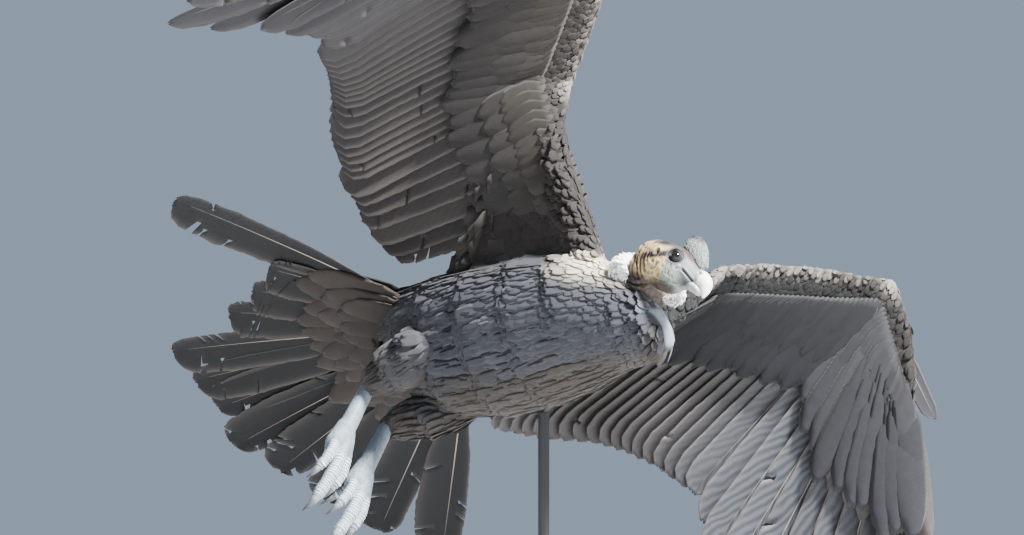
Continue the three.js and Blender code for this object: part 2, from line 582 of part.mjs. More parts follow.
for (const [sideName, side] of [['left', 1], ['right', -1]]) {
  place(`thigh_${sideName}`, solidOf(thigh(side)).subtract(trunkRoom), materials.plumage);
  place(`foot_${sideName}`, foot(side).subtract(solidOf(thigh(side, gap))).subtract(trunkRoom), materials.scute);
  for (const toe of toes) place(`claw_${sideName}_${toe[0]}`, claw(side, toe), materials.claw);
  const wing = wings[sideName];
  const flights = flightsOf(wing);
  const [upper, forearm] = ['upper', 'forearm'].map((part) => wingPart(wing, flights, part, gap));
  place(`wing_${sideName}_upper`, wingPart(wing, flights, 'upper').subtract(trunkRoom), materials.plumage);
  place(`wing_${sideName}_forearm`, wingPart(wing, flights, 'forearm').subtract(upper), materials.flight);
  place(`wing_${sideName}_hand`, wingPart(wing, flights, 'hand').subtract(forearm), materials.flight);
  const handRoom = wingPart(wing, flights, 'hand', gap);
  place(`wing_${sideName}_alula`, alula(wing, flights).subtract(handRoom).subtract(forearm), materials.flight);
}

// Display stand
function around(profile, count) {
  const outline = profile.map(([radius, height]) => new THREE.Vector2(radius, height));
  return new THREE.LatheGeometry(outline, count).rotateX(Math.PI / 2);
}
const bevel = 3;
const base = around([
  [0, 0], [baseRadius, 0], [baseRadius, baseThickness - bevel],
  [baseRadius - bevel, baseThickness], [0, baseThickness],
], 36);
const rodFoot = baseThickness + gap;
const flange = 24;
const rod = around([
  [0, rodFoot], [flange, rodFoot], [flange, rodFoot + 8],
  [rodRadius, rodFoot + 14], [rodRadius, stance.z], [0, stance.z],
], 14);
model.updateMatrixWorld(true);
const trunkAbove = trunk(gap).applyMatrix4(bird.matrixWorld);
place('stand_base', solidOf(base), materials.steel, model);
place('stand_rod', solidOf(rod).subtract(solidOf(trunkAbove)), materials.steel, model);

export default model;
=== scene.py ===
import math
import random
import bmesh
import bpy
import numpy as np
from mathutils import Matrix, Vector, noise


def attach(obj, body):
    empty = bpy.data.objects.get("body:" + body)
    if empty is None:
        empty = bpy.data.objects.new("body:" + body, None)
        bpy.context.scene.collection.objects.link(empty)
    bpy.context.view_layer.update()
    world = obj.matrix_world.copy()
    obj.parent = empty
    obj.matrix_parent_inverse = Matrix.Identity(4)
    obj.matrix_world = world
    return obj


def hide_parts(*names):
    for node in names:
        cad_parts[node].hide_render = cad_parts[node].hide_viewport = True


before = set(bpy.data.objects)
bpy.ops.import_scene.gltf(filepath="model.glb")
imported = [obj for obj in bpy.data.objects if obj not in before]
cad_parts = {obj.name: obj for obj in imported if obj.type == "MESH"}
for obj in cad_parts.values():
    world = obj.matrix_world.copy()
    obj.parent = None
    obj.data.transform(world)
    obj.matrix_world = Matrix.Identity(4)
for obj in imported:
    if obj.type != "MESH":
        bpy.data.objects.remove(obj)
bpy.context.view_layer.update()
random.seed(11)

# Where the bird sits on its rod and how it is turned, in metres and degrees
stance = {"place": (-0.038, -0.026, 0.778), "yaw": -27, "pitch": 12.5, "bank": 45}
view = {"distance": 30.0, "aside": -0.0128, "above": 0.108, "mmPerPixel": 1.6}


def setCamera():
    # a long lens from far off keeps both wings at the same scale
    data = bpy.data.cameras.new("viewCamera")
    camera = bpy.data.objects.new("viewCamera", data)
    bpy.context.scene.collection.objects.link(camera)
    x, y, z = stance["place"]
    camera.location = (x + view["aside"], y - view["distance"], z + view["above"])
    camera.rotation_euler = (math.radians(90), 0, 0)
    data.sensor_width = 36
    data.lens = 36 * view["distance"] / (1024 * view["mmPerPixel"] / 1000)
    data.clip_end = 200
    bpy.context.scene.camera = camera


setCamera()
print("camera set")

# The bird is measured level in millimetres, x ahead, y to its left, z up from its back
birdTurn = (
    Matrix.Rotation(math.radians(stance["yaw"]), 3, "Z")
    @ Matrix.Rotation(math.radians(-stance["pitch"]), 3, "Y")
    @ Matrix.Rotation(math.radians(-stance["bank"]), 3, "X")
)
birdMatrix = Matrix.Translation(stance["place"]) @ birdTurn.to_4x4() @ Matrix.Scale(0.001, 4)
turnArray = np.array(birdTurn)
placeArray = np.array(stance["place"])
leftward = Vector((0, 1, 0))
upward = Vector((0, 0, 1))


def toWorld(points):
    return np.asarray(points, float).reshape(-1, 3) @ turnArray.T / 1000 + placeArray


def toBird(points):
    return (np.asarray(points, float).reshape(-1, 3) - placeArray) @ turnArray * 1000


def mix(a, b, share):
    return a + (b - a) * share


def smoothStep(low, high, value):
    share = np.clip((value - low) / (high - low), 0, 1)
    return share * share * (3 - 2 * share)


def shares(count):
    return [i / (count - 1) for i in range(count)]


def curve(points):
    # a smooth line through a list of points, read by a share from 0 to 1
    stops = [Vector(p) for p in points]
    last = len(stops) - 1

    def read(share):
        spot = min(1.0, max(0.0, share)) * last
        i = min(int(spot), last - 1)
        t = spot - i
        b, c = stops[i], stops[i + 1]
        a = stops[i - 1] if i else b * 2 - c
        d = stops[i + 2] if i + 2 <= last else c * 2 - b
        steps = [max((q - p).length, 1e-6) ** 0.5 for p, q in ((a, b), (b, c), (c, d))]
        start = ((b - a) / steps[0] - (c - a) / (steps[0] + steps[1]) + (c - b) / steps[1]) * steps[1]
        end = ((c - b) / steps[1] - (d - b) / (steps[1] + steps[2]) + (d - c) / steps[2]) * steps[1]
        return b + start * t + (c * 3 - b * 3 - start * 2 - end) * t**2 + (b * 2 - c * 2 + start + end) * t**3

    return read


def series(table):
    # reads the columns of a table of rows at any value of the first column
    keys = [row[0] for row in table]

    def read(key):
        return [float(np.interp(key, keys, [row[c] for row in table])) for c in range(1, len(table[0]))]

    return read


def ringOf(centre, side, rise, half, top, bottom, count):
    points = []
    for i in range(count):
        angle = 2 * math.pi * i / count
        c, s = math.cos(angle), math.sin(angle)
        wide = half[0] if c > 0 else half[1]
        points.append(centre + side * (c * wide) + rise * (s * (top if s > 0 else bottom)))
    return points


def loft(rings):
    # a skin over rings of points, with both ends closed
    count = len(rings[0])
    points = [p for row in rings for p in row]
    faces = []
    for r in range(len(rings) - 1):
        for i in range(count):
            a, b = r * count + i, r * count + (i + 1) % count
            faces.append((a, b, b + count, a + count))
    for r in (0, len(rings) - 1):
        middle = sum((Vector(p) for p in rings[r]), Vector()) / count
        points.append(middle)
        for i in range(count):
            a, b = r * count + i, r * count + (i + 1) % count
            faces.append((b, a, len(points) - 1) if r == 0 else (a, b, len(points) - 1))
    return points, faces


def limb(path, sizes, side, count):
    # a tube of oval rings along a curve; sizes are share, half width and, where they differ, rise and drop
    table = [(*row, *[row[-1]] * (4 - len(row))) for row in sizes]
    read = series(table)
    rings = []
    for share in [row[0] for row in table]:
        direction = (path(share + 0.02) - path(share - 0.02)).normalized()
        rise = direction.cross(side).normalized()
        width, top, bottom = read(share)
        aside = rise.cross(direction).normalized()
        rings.append(ringOf(path(share), aside, rise, (width, width), top, bottom, count))
    return loft(rings)


def joined(parts):
    points, faces = [], []
    for part in parts:
        start = len(points)
        points += list(part[0])
        faces += [tuple(i + start for i in face) for face in part[1]]
    return points, faces


def makeObject(name, points, faces):
    mesh = bpy.data.meshes.new(name)
    mesh.from_pydata([tuple(p) for p in points], [], faces)
    mesh.transform(birdMatrix)
    made = bpy.data.objects.new(name, mesh)
    bpy.context.scene.collection.objects.link(made)
    mesh.polygons.foreach_set("use_smooth", [True] * len(mesh.polygons))
    mesh.update()
    return made


def tidyNormals(made):
    form = bmesh.new()
    form.from_mesh(made.data)
    bmesh.ops.remove_doubles(form, verts=form.verts, dist=1e-6)
    bmesh.ops.recalc_face_normals(form, faces=form.faces)
    form.to_mesh(made.data)
    form.free()
    made.data.update()


def baked(made):
    # the modifiers of a piece turned into a plain mesh
    depsgraph = bpy.context.evaluated_depsgraph_get()
    live = made.evaluated_get(depsgraph)
    mesh = bpy.data.meshes.new_from_object(live, preserve_all_data_layers=True, depsgraph=depsgraph)
    old = made.data
    made.modifiers.clear()
    made.data = mesh
    mesh.name = made.name
    if old.users == 0:
        bpy.data.meshes.remove(old)
    return made


def remeshed(made, voxel, smoothing=4):
    modifier = made.modifiers.new("voxels", "REMESH")
    modifier.mode = "VOXEL"
    modifier.voxel_size = voxel
    modifier.use_smooth_shade = True
    soften = made.modifiers.new("soften", "SMOOTH")
    soften.factor = 0.5
    soften.iterations = smoothing
    return baked(made)


def positionsOf(mesh):
    spots = np.empty(len(mesh.vertices) * 3, np.float32)
    mesh.vertices.foreach_get("co", spots)
    return spots.reshape(-1, 3).astype(float)


def normalsOf(mesh):
    spots = np.empty(len(mesh.vertices) * 3, np.float32)
    mesh.vertex_normals.foreach_get("vector", spots)
    return spots.reshape(-1, 3).astype(float)


def setPositions(mesh, spots):
    mesh.vertices.foreach_set("co", np.asarray(spots, np.float32).ravel())
    mesh.update()


def store(mesh, name, kind, values, domain="POINT"):
    attribute = mesh.attributes.new(name, kind, domain)
    field = {"FLOAT_VECTOR": "vector", "FLOAT_COLOR": "color", "FLOAT": "value", "FLOAT2": "vector"}[kind]
    attribute.data.foreach_set(field, np.asarray(values, np.float32).ravel())


def storeTints(mesh, tints):
    store(mesh, "tint", "FLOAT_COLOR", np.c_[tints, np.ones(len(tints))])


def spread(mesh, values, rounds):
    # evens out a value over neighbouring points of a mesh
    edges = np.empty(len(mesh.edges) * 2, np.int32)
    mesh.edges.foreach_get("vertices", edges)
    a, b = edges.reshape(-1, 2).T
    values = np.asarray(values, float)
    total = np.bincount(np.r_[a, b], minlength=len(values))[:, None] + 1
    for _ in range(rounds):
        sums = values.copy()
        for c in range(values.shape[1]):
            sums[:, c] += np.bincount(a, values[b, c], len(values)) + np.bincount(b, values[a, c], len(values))
        values = sums / total
    return values


# Colours are written as sRGB hex and turned to linear here
def linear(text):
    parts = [int(text[i:i + 2], 16) / 255 for i in (1, 3, 5)]
    return [c / 12.92 if c <= 0.04045 else ((c + 0.055) / 1.055) ** 2.4 for c in parts]


def colour(text):
    return (*linear(text), 1)


def toneOf(text):
    return np.array(linear(text))


def addNode(tree, kind, settings=None, inputs=None):
    node = tree.nodes.new(kind)
    for key, value in (settings or {}).items():
        setattr(node, key, value)
    for key, value in (inputs or {}).items():
        if isinstance(value, bpy.types.NodeSocket):
            tree.links.new(value, node.inputs[key])
        else:
            node.inputs[key].default_value = value
    return node


def ramp(tree, factor, stops):
    node = addNode(tree, "ShaderNodeValToRGB", inputs={"Fac": factor})
    marks = node.color_ramp.elements
    while len(marks) < len(stops):
        marks.new(0.5)
    for mark, (place, tone) in zip(marks, stops):
        mark.position = place
        mark.color = colour(tone) if isinstance(tone, str) else (tone, tone, tone, 1)
    return node.outputs["Color"]


# The trunk: along, half width, height of the widest line, top, bottom, middle to the left
trunkStations = [
    (-250, 60, 60, 88, 30, 0), (-219, 86, 58, 106, -10, 0), (-168, 110, 48, 118, -82, 0),
    (-96, 128, 20, 120, -122, 0),
    (-13, 136, 0, 116, -131, 0), (69, 132, 0, 112, -127, 0), (141, 119, 0, 98, -117, 0), (190, 96, -8, 74, -111, 2),
    (228, 79, -22, 34, -104, 8), (256, 62, -34, 2, -92, 14), (274, 40, -40, -18, -74, 18),
]
wings = {
    "left": {
        "side": 1, "shoulder": (150, 95, 80), "elbow": (144, 253, 307),
        "wrist": (318, 475, 443), "fingertip": (328, 601, 351),
        "tertialTips": [(-194, 140, 133), (-195, 176, 121), (-200, 218, 106), (-203, 249, 97)],
        "secondaryTips": [(-195, 262, 96), (-145, 322, 126), (-82, 386, 154), (-40, 456, 168), (1, 540, 166)],
        "primaryTips": [
            (4, 588, 139), (-3, 627, 107), (-6, 680, 68), (-3, 740, 28), (11, 809, -12),
            (38, 877, -44), (64, 939, -71), (117, 998, -85), (173, 1013, -63), (232, 1013, -27),
        ],
        "thumb": [(322, 500, 446), (356, 660, 347)],
    },
    "right": {
        "side": -1, "shoulder": (150, -95, 80), "elbow": (113, -277, 283),
        "wrist": (303, -474, 440), "fingertip": (308, -592, 346),
        "tertialTips": [
            (-194, -140, 132), (-206, -171, 128), (-214, -215, 137), (-213, -248, 146), (-217, -275, 147),
        ],
        "secondaryTips": [
            (-206, -302, 157), (-200, -352, 174), (-176, -408, 204), (-162, -448, 206), (-148, -503, 193),
        ],
        "primaryTips": [
            (-128, -529, 186), (-107, -568, 159), (-100, -608, 121), (-100, -655, 76), (-116, -700, 45),
            (-167, -755, 3), (-204, -817, -38), (-143, -861, -51), (-80, -896, -64), (3, -908, -49),
        ],
        "thumb": [(308, -498, 444), (330, -655, 345)],
    },
}
# Flesh along the wing bones: piece, share along its bone, ahead, behind, half thickness
fleshStations = [
    ("upper", -0.2, 30, 230, 34), ("upper", 0.1, 26, 200, 30), ("upper", 0.4, 18, 125, 25),
    ("upper", 0.7, 32, 72, 22), ("upper", 1, 70, 50, 20),
    ("forearm", 0.3, 68, 46, 18), ("forearm", 0.65, 66, 42, 16), ("forearm", 1, 60, 38, 15),
    ("hand", 0.4, 54, 34, 12), ("hand", 0.8, 38, 28, 9), ("hand", 1.08, 20, 20, 6),
]
flightSet = {
    "tertials": 7, "secondaries": 17, "bow": 0.035, "twist": 13, "fingerTwist": 30, "rootAlong": 8,
}
coatDepth = {"trunk": 9, "wing": 5, "thigh": 7, "voxel": 0.0051}


def flightsOf(wing):
    # every flight feather of a wing, from the body outward
    joints = ("shoulder", "elbow", "wrist", "fingertip")
    shoulder, elbow, wrist, fingertip = [Vector(wing[key]) for key in joints]
    flights = []

    def add(part, kind, count, start, end, startShare, endShare, tips):
        for share in shares(count):
            bone = start.lerp(end, mix(startShare, endShare, share))
            flights.append({"part": part, "kind": kind, "bone": bone, "tip": tips(share)})

    tertials, secondaries = flightSet["tertials"], flightSet["secondaries"]
    add("upper", "tertial", tertials, shoulder, elbow, 0.24, 0.95, curve(wing["tertialTips"]))
    add("forearm", "secondary", secondaries, elbow, wrist, 0.02, 0.97, curve(wing["secondaryTips"]))
    for i, tip in enumerate(wing["primaryTips"]):
        bone = wrist.lerp(fingertip, mix(0.06, 0.97, i / 9))
        flights.append({"part": "hand", "kind": "primary" if i < 5 else "finger", "bone": bone, "tip": Vector(tip)})
    last = len(flights) - 1
    for i, flight in enumerate(flights):
        before, after = flights[max(0, i - 1)], flights[min(last, i + 1)]
        middleAfter = after["bone"].lerp(after["tip"], 0.5)
        middleBefore = before["bone"].lerp(before["tip"], 0.5)
        flight["span"] = (middleAfter - middleBefore).normalized()
        lie = (flight["tip"] - flight["bone"]).normalized()
        flight["lie"] = lie
        flight["length"] = (flight["tip"] - flight["bone"]).length
        flight["facing"] = lie.cross(flight["span"]).normalized() * -wing["side"]
    for i, flight in enumerate(flights):
        near = flights[max(0, i - 4):i + 5]
        normal = sum((one["facing"] for one in near), Vector()).normalized()
        flight["normal"] = (normal - flight["lie"] * normal.dot(flight["lie"])).normalized()
        flight["rank"] = i / last
        loose = max(0, (i - last + 6) / 6) if wing["side"] < 0 else 0
        flight["curl"] = flightSet["fingerTwist"] * loose
        flight["bow"] = flightSet["bow"] * (1 - min(1, 2 * loose) * 0.8)
    return flights


for wing in wings.values():
    wing["flights"] = flightsOf(wing)


def trunkLoft(inset):
    rings = []
    for i, (x, half, middle, top, bottom, aside) in enumerate(trunkStations):
        end = inset if i == 0 else -inset if i == len(trunkStations) - 1 else 0
        rings.append(ringOf(Vector((x + end, aside, middle)), leftward, upward, (half - inset, half - inset),
                            top - middle - inset, middle - bottom - inset, 28))
    return loft(rings)


def wingLoft(wing, inset):
    corners = {"upper": ("shoulder", "elbow"), "forearm": ("elbow", "wrist"), "hand": ("wrist", "fingertip")}
    rings = []
    for part, share, ahead, behind, half in fleshStations:
        start, end = [Vector(wing[key]) for key in corners[part]]
        axis = (end - start).normalized()
        centre = start.lerp(end, share)
        near = min(wing["flights"], key=lambda one: (one["bone"] - centre).length)
        trail = near["lie"]
        if share == 1:
            following = Vector(wing["wrist" if part == "upper" else "fingertip"]) - end
            axis = (axis + following.normalized()).normalized()
        chord = -(trail - axis * trail.dot(axis)).normalized()
        thick = chord.cross(axis).normalized() * wing["side"]
        deep = max(3, half - inset)
        rings.append(ringOf(centre, chord, thick, (ahead - inset, behind - inset), deep, deep, 20))
    return loft(rings)


def hockOf(side):
    return Vector((-243, 37, -98)) if side > 0 else Vector((-236, -45, -90))


def thighLoft(side, inset):
    path = curve([(-120, side * 58, -44), (-182, side * 54, -72), hockOf(side)])
    sizes = [(0, 48, 52), (0.35, 46, 48), (0.7, 34, 34), (0.9, 22, 22), (1, 15, 15)]
    depth = lambda share: inset * (1 - 0.5 * share)
    shrunk = [(share, wide - depth(share), rise - depth(share)) for share, wide, rise in sizes]
    return limb(path, shrunk, leftward, 20)


def makeBodySkin():
    parts = [trunkLoft(coatDepth["trunk"])]
    for side in (1, -1):
        parts.append(thighLoft(side, coatDepth["thigh"]))
        parts.append(wingLoft(wings["left" if side > 0 else "right"], coatDepth["wing"]))
    skin = makeObject("bodySkin", *joined(parts))
    tidyNormals(skin)
    return remeshed(skin, coatDepth["voxel"], 6)


bodySkin = makeBodySkin()
print("body skin made:", len(bodySkin.data.polygons), "faces")


# Which part of the body each point of the skin belongs to, which way its feathers lie and how long they are
def segmentShare(points, start, end):
    start, end = np.array(start), np.array(end)
    along = end - start
    share = np.clip((points - start) @ along / (along @ along), 0, 1)
    return share, np.linalg.norm(points - start - share[:, None] * along, axis=1)


def trunkLevel(points):
    table = np.array(trunkStations, float)
    x = np.clip(points[:, 0], table[0, 0], table[-1, 0])
    half, middle, top, bottom, aside = [np.interp(x, table[:, 0], table[:, c]) for c in range(1, 6)]
    rise = np.where(points[:, 2] > middle, top - middle, middle - bottom)
    level = np.hypot((points[:, 1] - aside) / half, (points[:, 2] - middle) / rise)
    return level + np.maximum(0, np.abs(points[:, 0] - x) - 4) / 40


def mapSkin(skin):
    points = toBird(positionsOf(skin.data))
    normals = normalsOf(skin.data) @ turnArray
    level = trunkLevel(points)
    thigh = np.zeros(len(points))
    for side in (1, -1):
        share, away = segmentShare(points, (-150, side * 56, -64), hockOf(side))
        mine = (away < 52 - 22 * share) & (level > 0.97) & (points[:, 2] < -20)
        thigh = np.maximum(thigh, np.where(mine, 0.3 + 0.7 * share, 0))
    lies = np.tile(np.array([-1.0, 0, 0]), (len(points), 1))
    lies[:, 2] -= 0.12
    wingMask = np.zeros(len(points))
    reach = np.zeros(len(points))
    for wing in wings.values():
        best = np.full(len(points), 1e9)
        for part, start, end in ((0, "shoulder", "elbow"), (1, "elbow", "wrist"), (2, "wrist", "fingertip")):
            share, away = segmentShare(points, wing[start], wing[end])
            mine = (away < best) & (points[:, 1] * wing["side"] > 40)
            best = np.where(mine, away, best)
            reach = np.where(mine & (away < 260), part + share, reach)
        inWing = (level > 0.99) & (thigh == 0) & (best < 270) & (points[:, 2] > -30)
        bones = np.array([one["bone"] for one in wing["flights"]])
        trails = np.array([one["lie"] for one in wing["flights"]])
        gaps = points[:, None, :] - bones[None] - trails[None] * 60
        ids = np.argmin(np.linalg.norm(gaps, axis=2), axis=1)
        wingMask = np.where(inWing, 1, wingMask)
        lies[inWing] = trails[ids[inWing]]
    for side in (1, -1):
        down = (hockOf(side) - Vector((-120, side * 58, -44))).normalized()
        mine = (thigh > 0) & (points[:, 1] * side > 0)
        lies[mine] = np.array(down)
    lies = spread(skin.data, lies, 24)
    soft = spread(skin.data, np.c_[wingMask, thigh, reach * wingMask], 6)
    lies -= normals * np.sum(lies * normals, axis=1)[:, None]
    lies /= np.linalg.norm(lies, axis=1)[:, None] + 1e-9
    return {"points": points, "normals": normals, "lies": lies,
            "wing": soft[:, 0], "thigh": soft[:, 1], "reach": soft[:, 2]}


skinMap = mapSkin(bodySkin)
print("skin mapped")

# Tones of the plumage, as the young bird wears them, except that the pale shoulder and edge tones are painted
# sunlight and the flank's blue cast is painted sky light
plumage = {
    "belly": "#35302c", "flank": "#32353b", "back": "#302d2b", "shoulder": "#bdb3a2",
    "thigh": "#443f3b", "rump": "#302b28", "underWing": "#262321", "upperWing": "#302d2b",
    "edge": "#7a736c", "hand": "#332f2d", "crop": "#7b838b",
}


def tone(name):
    return toneOf(plumage[name])


def blend(a, b, share):
    return a + (b - a) * np.asarray(share)[:, None]


def cloud(points, size, octaves=3, offset=0.0):
    # soft mottling from about -1 to 1
    return np.array([noise.fractal(Vector(p) / size + Vector((offset, 0, 0)), 1.0, 2.0, octaves) for p in points])


def coatTints(where):
    points, normals = where["points"], where["normals"]
    count = len(points)
    mottle = cloud(points, 46)
    patches = cloud(points, 120, 2, 7.0)
    # Slate flank tone, strongest on the bird's right side, which is turned up; its blue cast is painted sky light
    grey = smoothStep(-0.2, 0.5, -normals[:, 1] + 0.5 * patches) * 0.8
    tints = blend(np.tile(tone("belly"), (count, 1)), tone("flank"), grey)
    tints = blend(tints, tone("back"), smoothStep(0.1, 0.7, normals[:, 2]))
    tints = blend(tints, tone("rump"), smoothStep(-130, -215, points[:, 0]) * 0.7)
    # Painted sunlight: the upper front of the trunk, over the shoulders, is lightened to the pale shoulder tone
    paintedSunlight = smoothStep(120, 190, points[:, 0]) * smoothStep(-34, 20, points[:, 2]) * 0.95
    tints = blend(tints, tone("shoulder"), paintedSunlight)
    tints = blend(tints, tone("thigh"), where["thigh"] * 0.8)
    wing = where["wing"]
    below = np.zeros(count)
    chord = np.zeros(count)
    for side in (1, -1):
        flights = wings["left" if side > 0 else "right"]["flights"]
        mine = points[:, 1] * side > 0
        normal = np.array(sum((one["normal"] for one in flights), Vector()).normalized())
        below[mine] = -(normals[mine] @ normal)
        bones = np.array([one["bone"] for one in flights])
        trails = np.array([one["lie"] for one in flights])
        gaps = points[:, None, :] - bones[None]
        ids = np.argmin(np.linalg.norm(gaps, axis=2), axis=1)
        back = np.sum(gaps[np.arange(count), ids] * trails[ids], axis=1)
        chord[mine] = back[mine]
    onWing = blend(np.tile(tone("upperWing"), (count, 1)), tone("underWing"), smoothStep(-0.3, 0.3, below))
    onWing = blend(onWing, tone("hand"), smoothStep(2.0, 2.6, where["reach"]) * 0.8)
    # Painted shade: the underside of the left wing is darkened by half
    onWing = onWing * (1 - 0.5 * smoothStep(-0.3, 0.3, below) * (points[:, 1] > 0))[:, None]
    # Painted sunlight: the leading edge of each wing, ahead of the bone, is lightened to the pale edge tone
    onWing = blend(onWing, tone("edge"), smoothStep(-30, -54, chord) * 0.9)
    tints = blend(tints, onWing, smoothStep(0.25, 0.8, wing))
    tints *= (1 + 0.2 * mottle + 0.1 * patches)[:, None]
    where["chord"] = chord
    return np.clip(tints, 0.01, 0.95)


def featherSizes(where):
    # width and length of the small feathers, in millimetres
    points = where["points"]
    length = np.full(len(points), 44.0)
    length = mix(length, 30, smoothStep(100, 220, points[:, 0]))
    length = mix(length, 52, smoothStep(-120, -220, points[:, 0]))
    length = mix(length, 26, smoothStep(0.5, 1.0, where["thigh"]))
    onWing = mix(36.0, 14.0, smoothStep(0, -45, where["chord"]))
    onWing = mix(onWing, 62.0, smoothStep(30, 110, where["chord"]))
    length = mix(length, onWing, smoothStep(0.3, 0.8, where["wing"]))
    return np.c_[length * 0.62, length, length]


def selectOnly(*chosen):
    # the first one becomes the active object as well
    for other in bpy.context.selected_objects:
        other.select_set(False)
    for made in chosen:
        made.select_set(True)
    bpy.context.view_layer.objects.active = chosen[0]


def unwrap(made, low=0.0, high=1.0):
    # a bake map of its own shape, kept to a band of the map
    made.data.uv_layers.new(name="OFBake")
    selectOnly(made)
    bpy.ops.object.mode_set(mode="EDIT")
    bpy.ops.mesh.select_all(action="SELECT")
    bpy.ops.uv.smart_project(angle_limit=math.radians(66), island_margin=0.001)
    bpy.ops.object.mode_set(mode="OBJECT")
    layer = made.data.uv_layers["OFBake"]
    spots = np.empty(len(made.data.loops) * 2, np.float32)
    layer.data.foreach_get("uv", spots)
    spots[0::2] = low + spots[0::2] * (high - low)
    layer.data.foreach_set("uv", spots)


# The bare crop lies on the breast toward the viewer; its inner edge is read by height, in millimetres
cropAxes = {"right": (0.87, 0.457, 0.185), "top": (0.216, -0.69, 0.69), "front": (0.443, -0.561, -0.7)}
cropEdge = {"top": [-20, 0, 18, 29, 40], "right": [232, 229, 225, 216, 204]}
bakeBands = {"body": (0.0, 0.74), "head": (0.76, 1.0)}


def cropShareOf(places):
    right, top, front = [places @ np.array(cropAxes[key]) for key in ("right", "top", "front")]
    share = smoothStep(-2, 3, right - np.interp(top, cropEdge["top"], cropEdge["right"]))
    share = share * smoothStep(-22, -12, top) * smoothStep(46, 38, top)
    return share * smoothStep(48, 60, front) * smoothStep(225, 235, places[:, 0])


skinMap["tints"] = coatTints(skinMap)
skinMap["sizes"] = featherSizes(skinMap)
cropShare = cropShareOf(skinMap["points"])
skinMap["tints"] = blend(skinMap["tints"], tone("crop"), cropShare)
fine = smoothStep(0.35, 0.65, skinMap["wing"])
storeTints(bodySkin.data, skinMap["tints"])
store(bodySkin.data, "lie", "FLOAT_VECTOR", skinMap["lies"] @ turnArray.T)
store(bodySkin.data, "size", "FLOAT_VECTOR", skinMap["sizes"] / 1000)
store(bodySkin.data, "bodyCover", "FLOAT", (1 - fine) * (1 - smoothStep(0.3, 0.6, cropShare)))
store(bodySkin.data, "wingCover", "FLOAT", fine)
unwrap(bodySkin, *bakeBands["body"])
print("skin toned and unwrapped")


# Feather shapes, one long, one wide, lying along +Y from the root; the rim is shared by both faces
def featherForm(name, columns, rows, lift, cup, ragged, taper=0.5):
    points, faces, marks = [], [], []
    for r in range(rows):
        t = 1 - (1 - r / (rows - 1)) ** 1.35
        half = 0.5 * min(1, 0.2 + 0.8 * (t / 0.35) ** 0.7) * (1 - max(0, (t - 0.62) / 0.4) ** 2.4) ** taper
        for c in range(columns):
            across = 2 * c / (columns - 1) - 1
            tooth = random.uniform(0, ragged) if r == rows - 1 else random.uniform(-0.3, 0.3) * ragged
            tooth = tooth if r else 0
            y = t + 0.06 * t * (1 - across**2) - tooth
            z = lift * (math.sin(math.pi * t) + 0.35 * t) - cup * across**2 * (0.4 + 0.6 * t)
            points.append((across * half * (1 + random.uniform(-0.5, 0.5) * ragged), y, z))
            marks.append((0.5 + across / 2, t))
    for r in range(rows - 1):
        for c in range(columns - 1):
            a = r * columns + c
            faces.append((a, a + 1, a + columns + 1, a + columns))
    rim = list(range(columns)) + [r * columns + columns - 1 for r in range(1, rows)]
    rim += [(rows - 1) * columns + c for c in range(columns - 2, -1, -1)]
    rim += [r * columns for r in range(rows - 2, 0, -1)]
    points.append((0, 0.5, lift * 0.82 - 0.03))
    marks.append((0.5, 0.5))
    for i, a in enumerate(rim):
        faces.append((rim[(i + 1) % len(rim)], a, len(points) - 1))
    mesh = bpy.data.meshes.new(name)
    mesh.from_pydata(points, [], faces)
    layer = mesh.uv_layers.new(name="vaneMap")
    for loop in mesh.loops:
        layer.data[loop.index].uv = marks[loop.vertex_index]
    mesh.polygons.foreach_set("use_smooth", [True] * len(mesh.polygons))
    return bpy.data.objects.new(name, mesh)


def featherSet(name, count, **form):
    group = bpy.data.collections.new(name)
    for i in range(count):
        group.objects.link(featherForm(f"{name}{i}", **form))
    return group


featherInputs = {
    "Geometry": "Geometry", "Feathers": "Collection", "Finish": "Material", "Cover": "String",
    "Spacing": "Float", "Turn Spread": "Float", "Size Spread": "Float", "Patch": "Float", "Seed": "Int",
}


